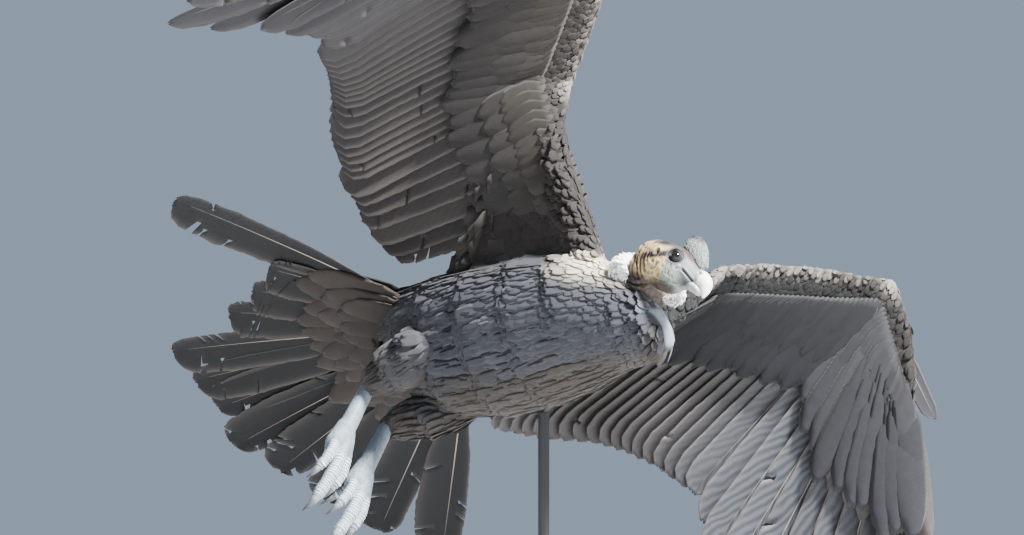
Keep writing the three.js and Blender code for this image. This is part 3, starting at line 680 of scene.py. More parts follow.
def featherTree(name, onSkin):
    # feathers set on scattered points of a skin, or on the points of a list of roots
    tree = bpy.data.node_groups.new(name, "GeometryNodeTree")
    for label, kind in featherInputs.items():
        tree.interface.new_socket(label, in_out="INPUT", socket_type="NodeSocket" + kind)
    tree.interface.new_socket("Geometry", in_out="OUTPUT", socket_type="NodeSocketGeometry")
    given = tree.nodes.new("NodeGroupInput").outputs
    link = tree.links.new

    def read(label, kind="FLOAT_VECTOR"):
        node = addNode(tree, "GeometryNodeInputNamedAttribute", {"data_type": kind}, {"Name": label})
        return node.outputs["Attribute"]

    if onSkin:
        scatter = addNode(tree, "GeometryNodeDistributePointsOnFaces", {"distribute_method": "POISSON"}, {
            "Mesh": given["Geometry"], "Distance Min": given["Spacing"], "Density Max": 40000.0,
            "Density Factor": read(given["Cover"], "FLOAT"), "Seed": given["Seed"]})
        points, outward = scatter.outputs["Points"], scatter.outputs["Normal"]
    else:
        points = addNode(tree, "GeometryNodeMeshToPoints", inputs={"Mesh": given["Geometry"]}).outputs["Points"]
        outward = read("outward")
    shade = addNode(tree, "FunctionNodeRandomValue", {"data_type": "FLOAT"}, {"Seed": given["Seed"]}).outputs[1]
    points = addNode(tree, "GeometryNodeStoreNamedAttribute", {"data_type": "FLOAT", "domain": "POINT"},
                     {"Geometry": points, "Name": "shade", "Value": shade}).outputs["Geometry"]
    axes = addNode(tree, "FunctionNodeAxesToRotation", {"primary_axis": "Z", "secondary_axis": "Y"},
                   {"Primary Axis": outward, "Secondary Axis": read("lie")})
    shapes = addNode(tree, "GeometryNodeCollectionInfo", inputs={
        "Collection": given["Feathers"], "Separate Children": True, "Reset Children": True})
    vary = addNode(tree, "FunctionNodeRandomValue", {"data_type": "FLOAT"}, {"Seed": 5})
    least = addNode(tree, "ShaderNodeMath", {"operation": "SUBTRACT"}, {0: 1.0, 1: given["Size Spread"]})
    most = addNode(tree, "ShaderNodeMath", {"operation": "ADD"}, {0: 1.0, 1: given["Size Spread"]})
    link(least.outputs[0], vary.inputs[2])
    link(most.outputs[0], vary.inputs[3])
    scale = addNode(tree, "ShaderNodeVectorMath", {"operation": "SCALE"}, {
        0: read("size"), "Scale": vary.outputs[1]})
    placed = addNode(tree, "GeometryNodeInstanceOnPoints", inputs={
        "Points": points, "Instance": shapes.outputs["Instances"], "Pick Instance": True,
        "Rotation": axes.outputs["Rotation"], "Scale": scale.outputs["Vector"]})
    swing = addNode(tree, "FunctionNodeRandomValue", {"data_type": "FLOAT"}, {"Seed": 9})
    back = addNode(tree, "ShaderNodeMath", {"operation": "MULTIPLY"}, {0: given["Turn Spread"], 1: -1.0})
    link(back.outputs[0], swing.inputs[2])
    link(given["Turn Spread"], swing.inputs[3])
    turn = addNode(tree, "ShaderNodeCombineXYZ", inputs={"Z": swing.outputs[1]})
    turned = addNode(tree, "GeometryNodeRotateInstances", inputs={
        "Instances": placed.outputs["Instances"], "Rotation": turn.outputs["Vector"], "Local Space": True})
    real = addNode(tree, "GeometryNodeRealizeInstances", inputs={"Geometry": turned.outputs["Instances"]})
    centred = addNode(tree, "ShaderNodeVectorMath", {"operation": "SUBTRACT"}, {
        0: read("vaneMap"), 1: (0.5, 0.5, 0)})
    small = addNode(tree, "ShaderNodeVectorMath", {"operation": "SCALE"}, {
        0: centred.outputs[0], "Scale": given["Patch"]})
    spot = addNode(tree, "ShaderNodeVectorMath", {"operation": "ADD"}, {0: read("OFBake"), 1: small.outputs[0]})
    stored = addNode(tree, "GeometryNodeStoreNamedAttribute", {"data_type": "FLOAT2", "domain": "CORNER"},
                     {"Geometry": real.outputs["Geometry"], "Name": "OFBake", "Value": spot.outputs[0]})
    finish = addNode(tree, "GeometryNodeSetMaterial", inputs={
        "Geometry": stored.outputs["Geometry"], "Material": given["Finish"]})
    link(finish.outputs["Geometry"], tree.nodes.new("NodeGroupOutput").inputs["Geometry"])
    return tree


trees = {"skin": featherTree("feathersOnSkin", True), "roots": featherTree("feathersOnRoots", False)}


def feathered(name, source, shapes, finish, kind, **sizes):
    # a plain mesh of feathers grown from a skin or from a list of roots
    tree = trees[kind]
    made = bpy.data.objects.new(name, source)
    bpy.context.scene.collection.objects.link(made)
    modifier = made.modifiers.new("feathers", "NODES")
    modifier.node_group = tree
    values = {"Feathers": shapes, "Finish": finish, "Cover": "", "Spacing": 0.012, "Turn Spread": 0.12,
              "Size Spread": 0.12, "Patch": 0.003, "Seed": 3, **sizes}
    for item in tree.interface.items_tree:
        if item.item_type == "SOCKET" and item.in_out == "INPUT" and item.name in values:
            modifier[item.identifier] = values[item.name]
    made.data = made.data.copy()
    baked(made)
    made.data.materials.clear()
    made.data.materials.append(finish)
    print(name, len(made.data.polygons), "faces")
    return made


def rootsMesh(name, rows):
    # rows of place, lie, outward, width, length, tint and bake spot, in the bird's millimetres
    mesh = bpy.data.meshes.new(name)
    mesh.from_pydata([tuple(p) for p in toWorld([row[0] for row in rows])], [], [])
    turned = lambda column: np.array([tuple(row[column]) for row in rows]) @ turnArray.T
    store(mesh, "lie", "FLOAT_VECTOR", turned(1))
    store(mesh, "outward", "FLOAT_VECTOR", turned(2))
    store(mesh, "size", "FLOAT_VECTOR", [(row[3] / 1000, row[4] / 1000, row[4] / 1000) for row in rows])
    store(mesh, "tint", "FLOAT_COLOR", [(*row[5], 1) for row in rows])
    store(mesh, "OFBake", "FLOAT2", [tuple(row[6]) for row in rows])
    return mesh


def newMaterial(name):
    material = bpy.data.materials.new(name)
    material.use_nodes = True
    tree = material.node_tree
    shader = tree.nodes["Principled BSDF"]
    return material, tree, shader


def attributeOf(tree, label, socket="Color"):
    settings = {"attribute_type": "GEOMETRY", "attribute_name": label}
    return addNode(tree, "ShaderNodeAttribute", settings).outputs[socket]


def maths(tree, operation, a, b=0.0, c=0.0):
    return addNode(tree, "ShaderNodeMath", {"operation": operation}, {0: a, 1: b, 2: c}).outputs[0]


def blended(tree, factor, a, b, mode="MIX"):
    node = addNode(tree, "ShaderNodeMix", {"data_type": "RGBA", "blend_type": mode}, {0: factor})
    for socket, value in ((node.inputs[6], a), (node.inputs[7], b)):
        if isinstance(value, bpy.types.NodeSocket):
            tree.links.new(value, socket)
        else:
            socket.default_value = value
    return node.outputs[2]


def shadedTint(tree, value):
    # the stored tint of each point, made lighter or darker by a value
    grey = addNode(tree, "ShaderNodeCombineColor", inputs={0: value, 1: value, 2: value}).outputs[0]
    return blended(tree, 1.0, attributeOf(tree, "tint"), grey, "MULTIPLY")


def dress(tree, shader, tint, values, relief=None):
    # a colour, plain values or sockets by name, and a relief of height, strength and depth in metres
    for key, value in {"Base Color": tint, **values}.items():
        if isinstance(value, bpy.types.NodeSocket):
            tree.links.new(value, shader.inputs[key])
        else:
            shader.inputs[key].default_value = value
    if relief:
        height, strength, depth = relief
        marks = {"Height": height, "Strength": strength, "Distance": depth}
        bump = addNode(tree, "ShaderNodeBump", inputs=marks)
        tree.links.new(bump.outputs["Normal"], shader.inputs["Normal"])


def vaneSpots(tree):
    # how far a point is from the shaft and along the feather
    vane = addNode(tree, "ShaderNodeSeparateXYZ", inputs={0: attributeOf(tree, "vaneMap", "Vector")})
    return maths(tree, "ABSOLUTE", maths(tree, "SUBTRACT", vane.outputs["X"], 0.5)), vane.outputs["Y"]


def contourPlumage():
    # keratin barbs of small body feathers: matt, soft, with a faint line of barbs
    material, tree, shader = newMaterial("contourPlumage")
    across, along = vaneSpots(tree)
    place = addNode(tree, "ShaderNodeTexCoord").outputs["Object"]
    patches = {"Vector": place, "Scale": 90.0, "Detail": 3.0}  # 11 mm patches
    mottle = addNode(tree, "ShaderNodeTexNoise", inputs=patches).outputs["Fac"]
    value = maths(tree, "MULTIPLY_ADD", attributeOf(tree, "shade", "Fac"), 0.2, 0.88)
    value = maths(tree, "MULTIPLY_ADD", maths(tree, "SUBTRACT", mottle, 0.5), 0.4, value)
    value = maths(tree, "MULTIPLY_ADD", maths(tree, "POWER", along, 3.0), 0.12, value)
    value = maths(tree, "MULTIPLY_ADD", maths(tree, "SUBTRACT", 1.0, along), -0.1, value)
    slanted = maths(tree, "SUBTRACT", along, maths(tree, "MULTIPLY", across, 0.9))
    barbs = maths(tree, "SINE", maths(tree, "MULTIPLY", slanted, 150.0))
    dress(tree, shader, shadedTint(tree, value), {
        "Roughness": 0.82, "Specular IOR Level": 0.12, "Sheen Weight": 0.04, "Sheen Roughness": 0.5,
    }, (barbs, 0.25, 0.0004))
    return material


def flightPlumage():
    # stiff flight feathers: darker, slightly glossy barbs in slanting lines off the shaft
    material, tree, shader = newMaterial("flightPlumage")
    across, along = vaneSpots(tree)
    slanted = maths(tree, "SUBTRACT", along, maths(tree, "MULTIPLY", across, 0.22))
    place = addNode(tree, "ShaderNodeTexCoord").outputs["Object"]
    clouds = {"Vector": place, "Scale": 14.0, "Detail": 2.0}  # 70 mm clouds
    wander = addNode(tree, "ShaderNodeTexNoise", inputs=clouds).outputs["Fac"]
    lines = maths(tree, "SINE", maths(tree, "MULTIPLY_ADD", wander, 9.0, maths(tree, "MULTIPLY", slanted, 620.0)))
    bars = maths(tree, "SINE", maths(tree, "MULTIPLY_ADD", wander, 16.0, maths(tree, "MULTIPLY", slanted, 105.0)))
    banded = maths(tree, "MULTIPLY", bars, attributeOf(tree, "banding", "Fac"))
    value = maths(tree, "MULTIPLY_ADD", attributeOf(tree, "shade", "Fac"), 0.3, 0.82)
    value = maths(tree, "MULTIPLY_ADD", lines, 0.07, value)
    value = maths(tree, "MULTIPLY_ADD", banded, 0.4, value)
    value = maths(tree, "MULTIPLY_ADD", maths(tree, "SUBTRACT", wander, 0.5), 0.5, value)
    edge = maths(tree, "MULTIPLY", maths(tree, "POWER", maths(tree, "MULTIPLY", across, 2.0), 8.0), 0.28)
    tint = blended(tree, edge, shadedTint(tree, value), colour("#6f6862"))
    dress(tree, shader, tint, {
        "Roughness": 0.55, "Specular IOR Level": 0.2, "Sheen Weight": 0.03,
    }, (lines, 0.3, 0.0005))
    return material


finishes = {"contour": contourPlumage(), "flight": flightPlumage()}
shapes = {
    "body": featherSet("bodyFeather", 5, columns=7, rows=5, lift=0.02, cup=0.01, ragged=0.2),
    "scale": featherSet("scaleFeather", 4, columns=5, rows=4, lift=0.06, cup=0.03, ragged=0.14),
    "covert": featherSet("covertFeather", 5, columns=9, rows=8, lift=0.03, cup=0.04, ragged=0.035),
}
coat = {"bodySpacing": 0.0088, "wingSpacing": 0.0068}

bodySkin.data.materials.append(finishes["contour"])
store(bodySkin.data, "shade", "FLOAT", np.full(len(bodySkin.data.vertices), 0.3))
pieces = [bodySkin]
for name, shape, cover, spacing, seed in (
    ("bodyFeathers", "body", "bodyCover", coat["bodySpacing"], 3),
    ("wingFeathers", "scale", "wingCover", coat["wingSpacing"], 8),
):
    pieces.append(feathered(name, bodySkin.data, shapes[shape], finishes["contour"], "skin",
                            Cover=cover, Spacing=spacing, Seed=seed))

# A flight feather as a bowed sheet with slanting barbs, worn edges and slits where barbs have parted
vaneShapes = {
    "tertial": {"widths": [(0, 10), (0.12, 34), (0.35, 58), (0.86, 66), (0.95, 58), (1, 26)], "inner": 0.6},
    "secondary": {"widths": [(0, 9), (0.12, 32), (0.35, 52), (0.88, 62), (0.96, 50), (1, 20)], "inner": 0.62},
    "primary": {"widths": [(0, 9), (0.12, 30), (0.35, 50), (0.86, 62), (0.95, 46), (1, 14)], "inner": 0.66},
    "finger": {
        "widths": [(0, 9), (0.12, 32), (0.44, 62), (0.5, 60), (0.62, 50), (0.9, 44), (0.97, 28), (1, 6)],
        "inner": 0.66,
    },
    "rectrix": {
        "widths": [(0, 8), (0.12, 26), (0.4, 70), (0.7, 84), (0.9, 78), (0.97, 58), (1, 22)], "inner": 0.64,
    },
}
vaneDetail = {"rows": 52, "columns": 13, "slant": 0.55, "thick": 0.7, "camber": 0.05, "shaft": 1.7}


def wearOf(rows, wear, torn):
    # rows where barbs have parted, as wedges that open towards the edge
    parted = {}
    for _ in range(int(wear * 4 + torn * 5)):
        low = 0.78 if torn and random.random() < 0.8 else 0.3
        row = min(rows - 3, int((rows - 1) * random.uniform(low, 0.97)))
        parted[(row, random.choice((-1, 1)))] = (random.uniform(0.25, 0.75), random.uniform(0.35, 1.0))
    return parted


def vaneSheet(one, shape):
    root, tip, normal, bow, wear = one["root"], one["tip"], one["normal"], one["bow"], one["wear"]
    lie = (tip - root).normalized()
    length = (tip - root).length
    flat = lie.cross(normal).cross(lie).normalized()
    inner = one.get("inner", shape["inner"] if one["side"] < 0 else 1 - shape["inner"])
    read = series(shape["widths"])
    faceAt = lambda t: Matrix.Rotation(math.radians(one["twist"] + one.get("curl", 0) * t), 3, lie) @ flat
    rows, columns = vaneDetail["rows"], vaneDetail["columns"]
    points, marks, faces = [], [], []
    drift = random.uniform(0, 50)
    parted = wearOf(rows, wear, one.get("torn", 0))
    for r in range(rows):
        t = r / (rows - 1)
        face = faceAt(t)
        side = face.cross(lie).normalized()
        for c in range(columns):
            across = 2 * c / (columns - 1) - 1
            part = inner if across < 0 else 1 - inner
            hand = 1 if across > 0 else -1
            reach = read(t)[0] * part * abs(across)
            ragged = 1 + wear * 0.1 * noise.noise(Vector((t * 34, drift, 0))) * (0.3 + t) * abs(across) ** 3
            forward = vaneDetail["slant"] * reach / length * (1 - t**5)
            step = 0.0
            for row, push in ((r, 1), (r - 1, -1)):
                depth, opening = parted.get((row, hand), (2, 0))
                if abs(across) >= depth - 0.01:
                    step += push * 0.49 * (1 - opening * (abs(across) - depth) / (1 - depth))
            tatter = 0.02 * wear * random.random() if r == rows - 1 else 0
            share = min(1.004, t + forward + step / rows - tatter)
            middle = root + lie * (share * length) + normal * (bow * length * 4 * share * (1 - share))
            droop = vaneDetail["camber"] * read(t)[0] * across * across
            points.append(middle + side * (math.copysign(reach, across) * ragged) - face * droop)
            marks.append((0.5 + across / 2, t))
    for r in range(rows - 1):
        for c in range(columns - 1):
            across = (2 * c + 1) / (columns - 1) - 1
            if abs(across) > parted.get((r, 1 if across > 0 else -1), (2, 0))[0]:
                continue
            a = r * columns + c
            faces.append((a, a + 1, a + columns + 1, a + columns))
    return points, faces, marks, faceAt(0.5)


def shaftTube(root, tip, normal, face, bow):
    length = (tip - root).length
    path = lambda share: root + (tip - root) * share + normal * (bow * length * 4 * share * (1 - share))
    rings = []
    stops = shares(16)
    for share in stops:
        size = mix(vaneDetail["shaft"], 0.4, share)
        lie = (path(min(1, share + 0.02)) - path(max(0, share - 0.02))).normalized()
        side = face.cross(lie).normalized()
        rings.append(ringOf(path(min(share, 0.985)), side, face, (size, size), size * 0.8, size * 0.8, 6))
    points, faces = loft(rings)
    marks = [(0.5, stops[min(15, i // 6)]) for i in range(len(points))]
    return points, faces, marks


def makeVanes(name, feathers):
    # feathers: dictionaries of root, tip, normal, kind, twist, bow, wear, tint and banding
    points, faces, marks, tints, bands, tones = [], [], [], [], [], []
    shafts = ([], [], [], [])
    for index, one in enumerate(feathers):
        sheet = vaneSheet(one, vaneShapes[one["kind"]])
        start = len(points)
        points += sheet[0]
        faces += [tuple(i + start for i in face) for face in sheet[1]]
        marks += [(u, v, index) for u, v in sheet[2]]
        tints += [one["tint"]] * len(sheet[0])
        bands += [one["banding"]] * len(sheet[0])
        tones += [random.Random(index).random()] * len(sheet[0])
        tube = shaftTube(one["root"], one["tip"], one["normal"], sheet[3], one["bow"])
        start = len(shafts[0])
        shafts[0].extend(tube[0])
        shafts[1].extend([tuple(i + start for i in face) for face in tube[1]])
        shafts[2].extend([(u, v, index) for u, v in tube[2]])
        shafts[3].extend([one["tint"]] * len(tube[0]))
    sheetObject = makeObject(name, points, faces)
    mesh = sheetObject.data
    store(mesh, "tint", "FLOAT_COLOR", [(*tint, 1) for tint in tints])
    store(mesh, "banding", "FLOAT", bands)
    store(mesh, "shade", "FLOAT", tones)
    mapVanes(mesh, marks, len(feathers), 0.0)
    solid = sheetObject.modifiers.new("thickness", "SOLIDIFY")
    solid.thickness = vaneDetail["thick"] / 1000
    solid.offset = 0
    baked(sheetObject)
    tubes = makeObject(name + "Shafts", shafts[0], shafts[1])
    store(tubes.data, "tint", "FLOAT_COLOR", [(*tint, 1) for tint in shafts[3]])
    mapVanes(tubes.data, shafts[2], len(feathers), 0.9)
    sheetObject.data.materials.append(finishes["flight"])
    tubes.data.materials.append(finishes["shaft"])
    for made in (sheetObject, tubes):
        form = bmesh.new()
        form.from_mesh(made.data)
        form.verts.ensure_lookup_table()
        loose = [v for v in form.verts if not v.link_faces]
        bmesh.ops.delete(form, geom=loose, context="VERTS")
        form.to_mesh(made.data)
        form.free()
    print(name, len(sheetObject.data.polygons), "faces")
    return sheetObject, tubes


def mapVanes(mesh, marks, count, inset):
    # each feather has its own upright strip of the bake map
    vane = mesh.uv_layers.new(name="vaneMap")
    bake = mesh.uv_layers.new(name="OFBake")
    for loop in mesh.loops:
        u, v, index = marks[loop.vertex_index]
        vane.data[loop.index].uv = (u, v)
        bake.data[loop.index].uv = ((index + 0.04 + 0.92 * u) / count, 0.02 + 0.96 * v)


def shaftKeratin():
    # bare quill: smooth, pale horn
    material, tree, shader = newMaterial("quillHorn")
    tint = ramp(tree, vaneSpots(tree)[1], [(0.0, "#a89c8c"), (0.55, "#7d7269"), (1.0, "#4a4443")])
    dress(tree, shader, tint, {"Roughness": 0.4})
    return material


finishes["shaft"] = shaftKeratin()

flightTones = {"inner": "#332f2d", "middle": "#1f1f23", "sunlitSilver": "#45494f", "tail": "#08080a"}


def flightFeathers(name, wing):
    rows = []
    flights = wing["flights"]
    for i, one in enumerate(flights):
        rank = one["rank"]
        tint = toneOf(flightTones["inner"]) * (1 - rank) + toneOf(flightTones["middle"]) * rank
        # On the left wing only, the inner primaries are lightened toward a silver tone: the bars across them are
        # their own, the lightening is painted sunlight
        sunlitSilver = 0.0
        if wing["side"] > 0:
            sunlitSilver = math.exp(-((rank - 0.8) / 0.13) ** 2)
        tint = tint * (1 - 0.5 * sunlitSilver) + toneOf(flightTones["sunlitSilver"]) * 0.5 * sunlitSilver
        tint = tint * random.uniform(0.88, 1.12)
        rows.append({"root": one["bone"] + one["lie"] * flightSet["rootAlong"], "tip": one["tip"],
                     "normal": one["normal"], "kind": one["kind"], "side": wing["side"],
                     "twist": -wing["side"] * flightSet["twist"], "curl": one["curl"], "bow": one["bow"],
                     "wear": random.uniform(0.15, 0.7), "tint": tint, "banding": 0.15 + 0.85 * sunlitSilver})
    return makeVanes(name, rows)


for label in ("left", "right"):
    pieces += flightFeathers(f"{label}WingFlights", wings[label])

# The tail fan: direction in degrees and length of each feather, and how far it lies over its neighbours
fanMiddle = Vector((-100, 0, 55))
tailFeathers = [
    (-51, 1.02), (-41, 0.66), (-31, 0.7), (-22, 0.78), (-11, 1.0), (-3, 0.98),
    (5, 0.97), (14, 1.02), (23, 0.98), (34, 0.98), (45, 1.0), (57, 1.0),
]
fanLayer = [-14, -11.2, -8.4, -5.6, -2.8, 0, 2.8, 0, -2.8, -5.6, -8.4, -11.2]
tail = {"reach": 515, "root": 118, "bow": 0.015}


def backward(degrees):
    return Vector((-math.cos(math.radians(degrees)), math.sin(math.radians(degrees)), 0))


def makeTail():
    rows = []
    for (degrees, share), layer in zip(tailFeathers, fanLayer):
        direction = backward(degrees)
        middle = fanMiddle + upward * layer
        tint = toneOf(flightTones["tail"]) * random.uniform(0.85, 1.2)
        rows.append({"root": middle + direction * tail["root"], "tip": middle + direction * tail["reach"] * share,
                     "normal": upward.copy(), "kind": "rectrix", "side": -1, "inner": 0.64 if degrees < 0 else 0.36,
                     "twist": 0, "bow": tail["bow"], "wear": 0.9 if share < 0.9 else random.uniform(0.3, 0.7),
                     "torn": 1.0, "tint": tint, "banding": 0.05})
    return makeVanes("tailFeathers", rows)


pieces += makeTail()


# The skin's own bake spot for feathers that are placed one by one
skinPlaces = skinMap["points"]
skinSpots = np.zeros((len(skinPlaces), 2))
loopVertices = np.empty(len(bodySkin.data.loops), np.int32)
bodySkin.data.loops.foreach_get("vertex_index", loopVertices)
loopSpots = np.empty(len(bodySkin.data.loops) * 2, np.float32)
bodySkin.data.uv_layers["OFBake"].data.foreach_get("uv", loopSpots)
skinSpots[loopVertices] = loopSpots.reshape(-1, 2)


def spotOf(place):
    away = skinPlaces - np.array(place)
    return skinSpots[int(np.argmin(np.einsum("ij,ij->i", away, away)))]


# Greater, median and lesser coverts of a wing: start behind the bone, height over it, share of the flight
# and longest reach, lift of the tips, width, and how many there are for each flight
covertTiers = [
    {"start": 12, "height": 11, "share": 0.43, "most": 240, "lift": 8, "width": 58, "each": 1},
    {"start": 0, "height": 15, "share": 0.28, "most": 140, "lift": 12, "width": 46, "each": 1},
    {"start": -16, "height": 17, "share": 0.17, "most": 88, "lift": 16, "width": 36, "each": 2},
]
# Painted shade: the underside of the left wing is darkened toward the body and given a cool blue cast
covertTones = {
    "below": ["#272524", "#292725", "#2d2a27"], "above": ["#302d2b", "#34302e", "#383431"],
    "hand": "#3e3a37", "shadeBlue": (0.88, 1.0, 1.25),
}


def covertTint(text, part, face, side, rank):
    tint = toneOf(text)
    if part == "hand":
        tint = tint * 0.35 + toneOf(covertTones["hand"]) * 0.65
    # painted shade on the left wing's underside, deepest toward the body, with a blue cast
    if face < 0 and side > 0:
        tint = tint * mix(0.26, 0.5, float(smoothStep(0.15, 0.55, rank))) * np.array(covertTones["shadeBlue"])
    elif face < 0 and part == "hand":
        tint = tint * 0.55
    return tint * random.uniform(0.86, 1.14)

def wingCoverts(wing):
    rows = []
    flights = wing["flights"]
    flesh = {"upper": 1.5, "forearm": 1.0, "hand": 0.62}
    for face, tones in ((-1, covertTones["below"]), (1, covertTones["above"])):
        for tier, tintText in zip(covertTiers, tones):
            for i in range(len(flights) * tier["each"]):
                spot = i / tier["each"]
                low = min(int(spot), len(flights) - 1)
                high = min(low + 1, len(flights) - 1)
                part = spot - low
                one, two = flights[low], flights[high]
                bone = one["bone"].lerp(two["bone"], part)
                lie = one["lie"].lerp(two["lie"], part).normalized()
                normal = one["normal"].lerp(two["normal"], part).normalized()
                length = mix(one["length"], two["length"], part)
                thick = mix(flesh[one["part"]], flesh[two["part"]], part)
                share = min(tier["share"], tier["most"] / length) * random.uniform(0.94, 1.06)
                root = bone + lie * tier["start"] + normal * (face * tier["height"] * thick)
                bowed = mix(one["bow"], two["bow"], part) * length * 4 * share * (1 - share)
                tip = bone + lie * (share * length) + normal * (bowed + face * tier["lift"])
                reach = tip - root
                outward = normal * face
                outward.rotate(Matrix.Rotation(math.radians(-wing["side"] * flightSet["twist"]), 3, lie))
                tint = covertTint(tintText, one["part"], face, wing["side"], spot / len(flights))
                rows.append((root, reach.normalized(), outward, tier["width"], reach.length, tint, spotOf(root)))
    return rows


for label, wing in wings.items():
    source = rootsMesh(f"{label}CovertRoots", wingCoverts(wing))
    pieces.append(feathered(f"{label}WingCoverts", source, shapes["covert"], finishes["contour"], "roots",
                            **{"Turn Spread": 0.04, "Size Spread": 0.05}))

# Tiers of tail coverts, three below and two above, fanned over the roots of the tail
tailTiers = [
    {"height": -18, "sink": 6, "reach": 285, "count": 13, "start": 96, "spread": 44, "width": 66},
    {"height": -24, "sink": 6, "reach": 244, "count": 13, "start": 90, "spread": 40, "width": 62},
    {"height": -30, "sink": 6, "reach": 204, "count": 12, "start": 80, "spread": 36, "width": 58},
    {"height": 16, "sink": -4, "reach": 255, "count": 12, "start": 90, "spread": 40, "width": 50},
    {"height": 22, "sink": -4, "reach": 210, "count": 10, "start": 84, "spread": 34, "width": 48},
]


def tailCoverts():
    rows = []
    for tier in tailTiers:
        for i, share in enumerate(shares(tier["count"])):
            direction = backward(mix(-tier["spread"], tier["spread"], share))
            layer = fanMiddle + upward * (tier["height"] - math.copysign(1.6 * (i % 2), tier["height"]))
            root = layer + direction * tier["start"] + upward * tier["sink"]
            tip = layer + direction * tier["reach"] * random.uniform(0.92, 1.05)
            tint = tone("rump" if tier["height"] < 0 else "back") * random.uniform(0.8, 1.1)
            outward = upward * math.copysign(1, tier["height"])
            reach = tip - root
            rows.append((root, reach.normalized(), outward, tier["width"], reach.length, tint, spotOf(root)))
    return rows


tailRoots = rootsMesh("tailCovertRoots", tailCoverts())
pieces.append(feathered("tailCoverts", tailRoots, shapes["covert"], finishes["contour"], "roots",
                        **{"Turn Spread": 0.05, "Size Spread": 0.05}))

# The head is measured in its own millimetres: x along the bill, y to the bird's left, z up through the comb
headTurn = np.array([(0.848, -0.239, 0.473), (0.32, 0.942, -0.099), (-0.422, 0.236, 0.875)])
headPlace = np.array([312.3, -52.7, 7.6])
skullStations = [
    (-64, 20, 16, 20, -2), (-52, 28, 25, 30, 0), (-30, 32, 30, 40, 1), (-6, 32, 30, 46, 2),
    (14, 27, 27, 44, 0), (32, 19, 19, 28, -4), (46, 13, 14, 17, -7),
]
neck = {
    "path": [(190, -2, 0), (226, -18, 4), (256, -42, 12), (282, -66, 26)], "radius": 38,
    "sizes": [
        (0, 1.2), (0.2, 1.16), (0.32, 1.02), (0.42, 1.1), (0.52, 0.96),
        (0.62, 1.04), (0.72, 0.92), (0.82, 0.98), (1, 0.82),
    ],
}
face = {
    "voxel": 0.00115, "eye": (4, 23.5, 5), "eyeRadius": 9.5, "lidGap": 0.8, "opening": (7.4, 5.4),
    "ear": (-27, -2), "mouth": [(24, -10), (38, -15), (50, -19)], "cheek": (-14, -8),
    "napeFold": 1.8, "napeWave": 6.6, "cheekFold": 1.0,
}
# Tones of the bare head. The throat tone is painted shadow under the head; the dark crown tone also paints the
# comb's shadow, the eye-patch tone the shade in the ear hole, and the gape tone the shade along the mouth line
bareTones = {
    "cheek": "#958360", "jaw": "#5f665f", "lore": "#5c6060", "gapeAndMouthShade": "#1e2125",
    "crown": "#3c2f28", "crownDarkAndCombShadow": "#1c1817", "eyePatchAndEarShade": "#1f1e21", "band": "#22150d",
    "nape": "#65533a", "throat": "#2a2019", "neck": "#44362a", "pale": "#8f8672",
}


def onHead(points):
    return np.asarray(points, float).reshape(-1, 3) @ headTurn.T + headPlace


def toHead(points):
    return (np.asarray(points, float) - headPlace) @ headTurn


def smoothStations(table, rows):
    # a table of stations read more finely along its first column
    path = [curve([(row[0], row[c], row[c + 1]) for row in table]) for c in range(1, len(table[0]) - 1, 2)]
    stops = []
    for share in shares(rows):
        row = [path[0](share)[0]]
        for one in path:
            row += list(one(share))[1:]
        stops.append(row)
    return stops


def placedOnHead(form):
    # a form measured on the head, in the bird's own axes
    points, faces = form
    return [Vector(p) for p in onHead([tuple(p) for p in points])], faces


def headSpotsOf(made):
    # places and normals of a mesh as measured on the head
    return toHead(toBird(positionsOf(made.data))), normalsOf(made.data) @ turnArray @ headTurn


def headLoft(stations, count):
    rings = []
    for x, half, rise, drop, middle in stations:
        rings.append(ringOf(Vector((x, 0, middle)), leftward, upward, (half, half), rise, drop, count))
    return placedOnHead(loft(rings))


def makeHeadSkin():
    sizes = [(share, size * neck["radius"]) for share, size in neck["sizes"]]
    neckLimb = limb(curve(neck["path"]), sizes, leftward, 32)
    made = makeObject("headSkin", *joined([headLoft(smoothStations(skullStations, 24), 32), neckLimb]))
    tidyNormals(made)
    return remeshed(made, face["voxel"], 8)


def near(x, z, spot, spread):
    return np.exp(-(((x - spot[0]) / spread[0]) ** 2 + ((z - spot[1]) / spread[1]) ** 2))


def awayFromLine(x, z, line):
    best = np.full(len(x), 1e9)
    for a, b in zip(line, line[1:]):
        along = np.array(b, float) - np.array(a, float)
        share = np.clip(((x - a[0]) * along[0] + (z - a[1]) * along[1]) / (along @ along), 0, 1)
        best = np.minimum(best, np.hypot(x - a[0] - share * along[0], z - a[1] - share * along[1]))
    return best


def ridged(points, size, offset):
    return np.array([1 - 2 * abs(noise.noise(Vector(p) / size + Vector((offset, 0, 0)))) for p in points])


def lidSurface(spots, moved, eyeAway, flank):
    # skin round the eye laid on a ball just over it, with an opening between the lids
    x, y, z = spots.T
    wide, tall = (x - face["eye"][0]) / face["opening"][0], (z - face["eye"][2]) / face["opening"][1]
    level = np.sqrt(wide**2 + tall**2)
    shell = face["eyeRadius"] + face["lidGap"] + 0.9 * np.exp(-(((level - 1.15) / 0.14) ** 2))
    shell = shell + 0.3 * np.sin(level * 14)
    lid = face["eye"][1] + np.sqrt(np.maximum(0, shell**2 - eyeAway**2))
    target = mix(face["eye"][1] + 2.0, lid, smoothStep(0.94, 1.06, level))
    amount = flank * (1 - smoothStep(8.6, 14, eyeAway)) * smoothStep(-4, 0, np.abs(moved[:, 1]) - 12)
    return np.sign(y) * mix(np.abs(moved[:, 1]), target, amount)


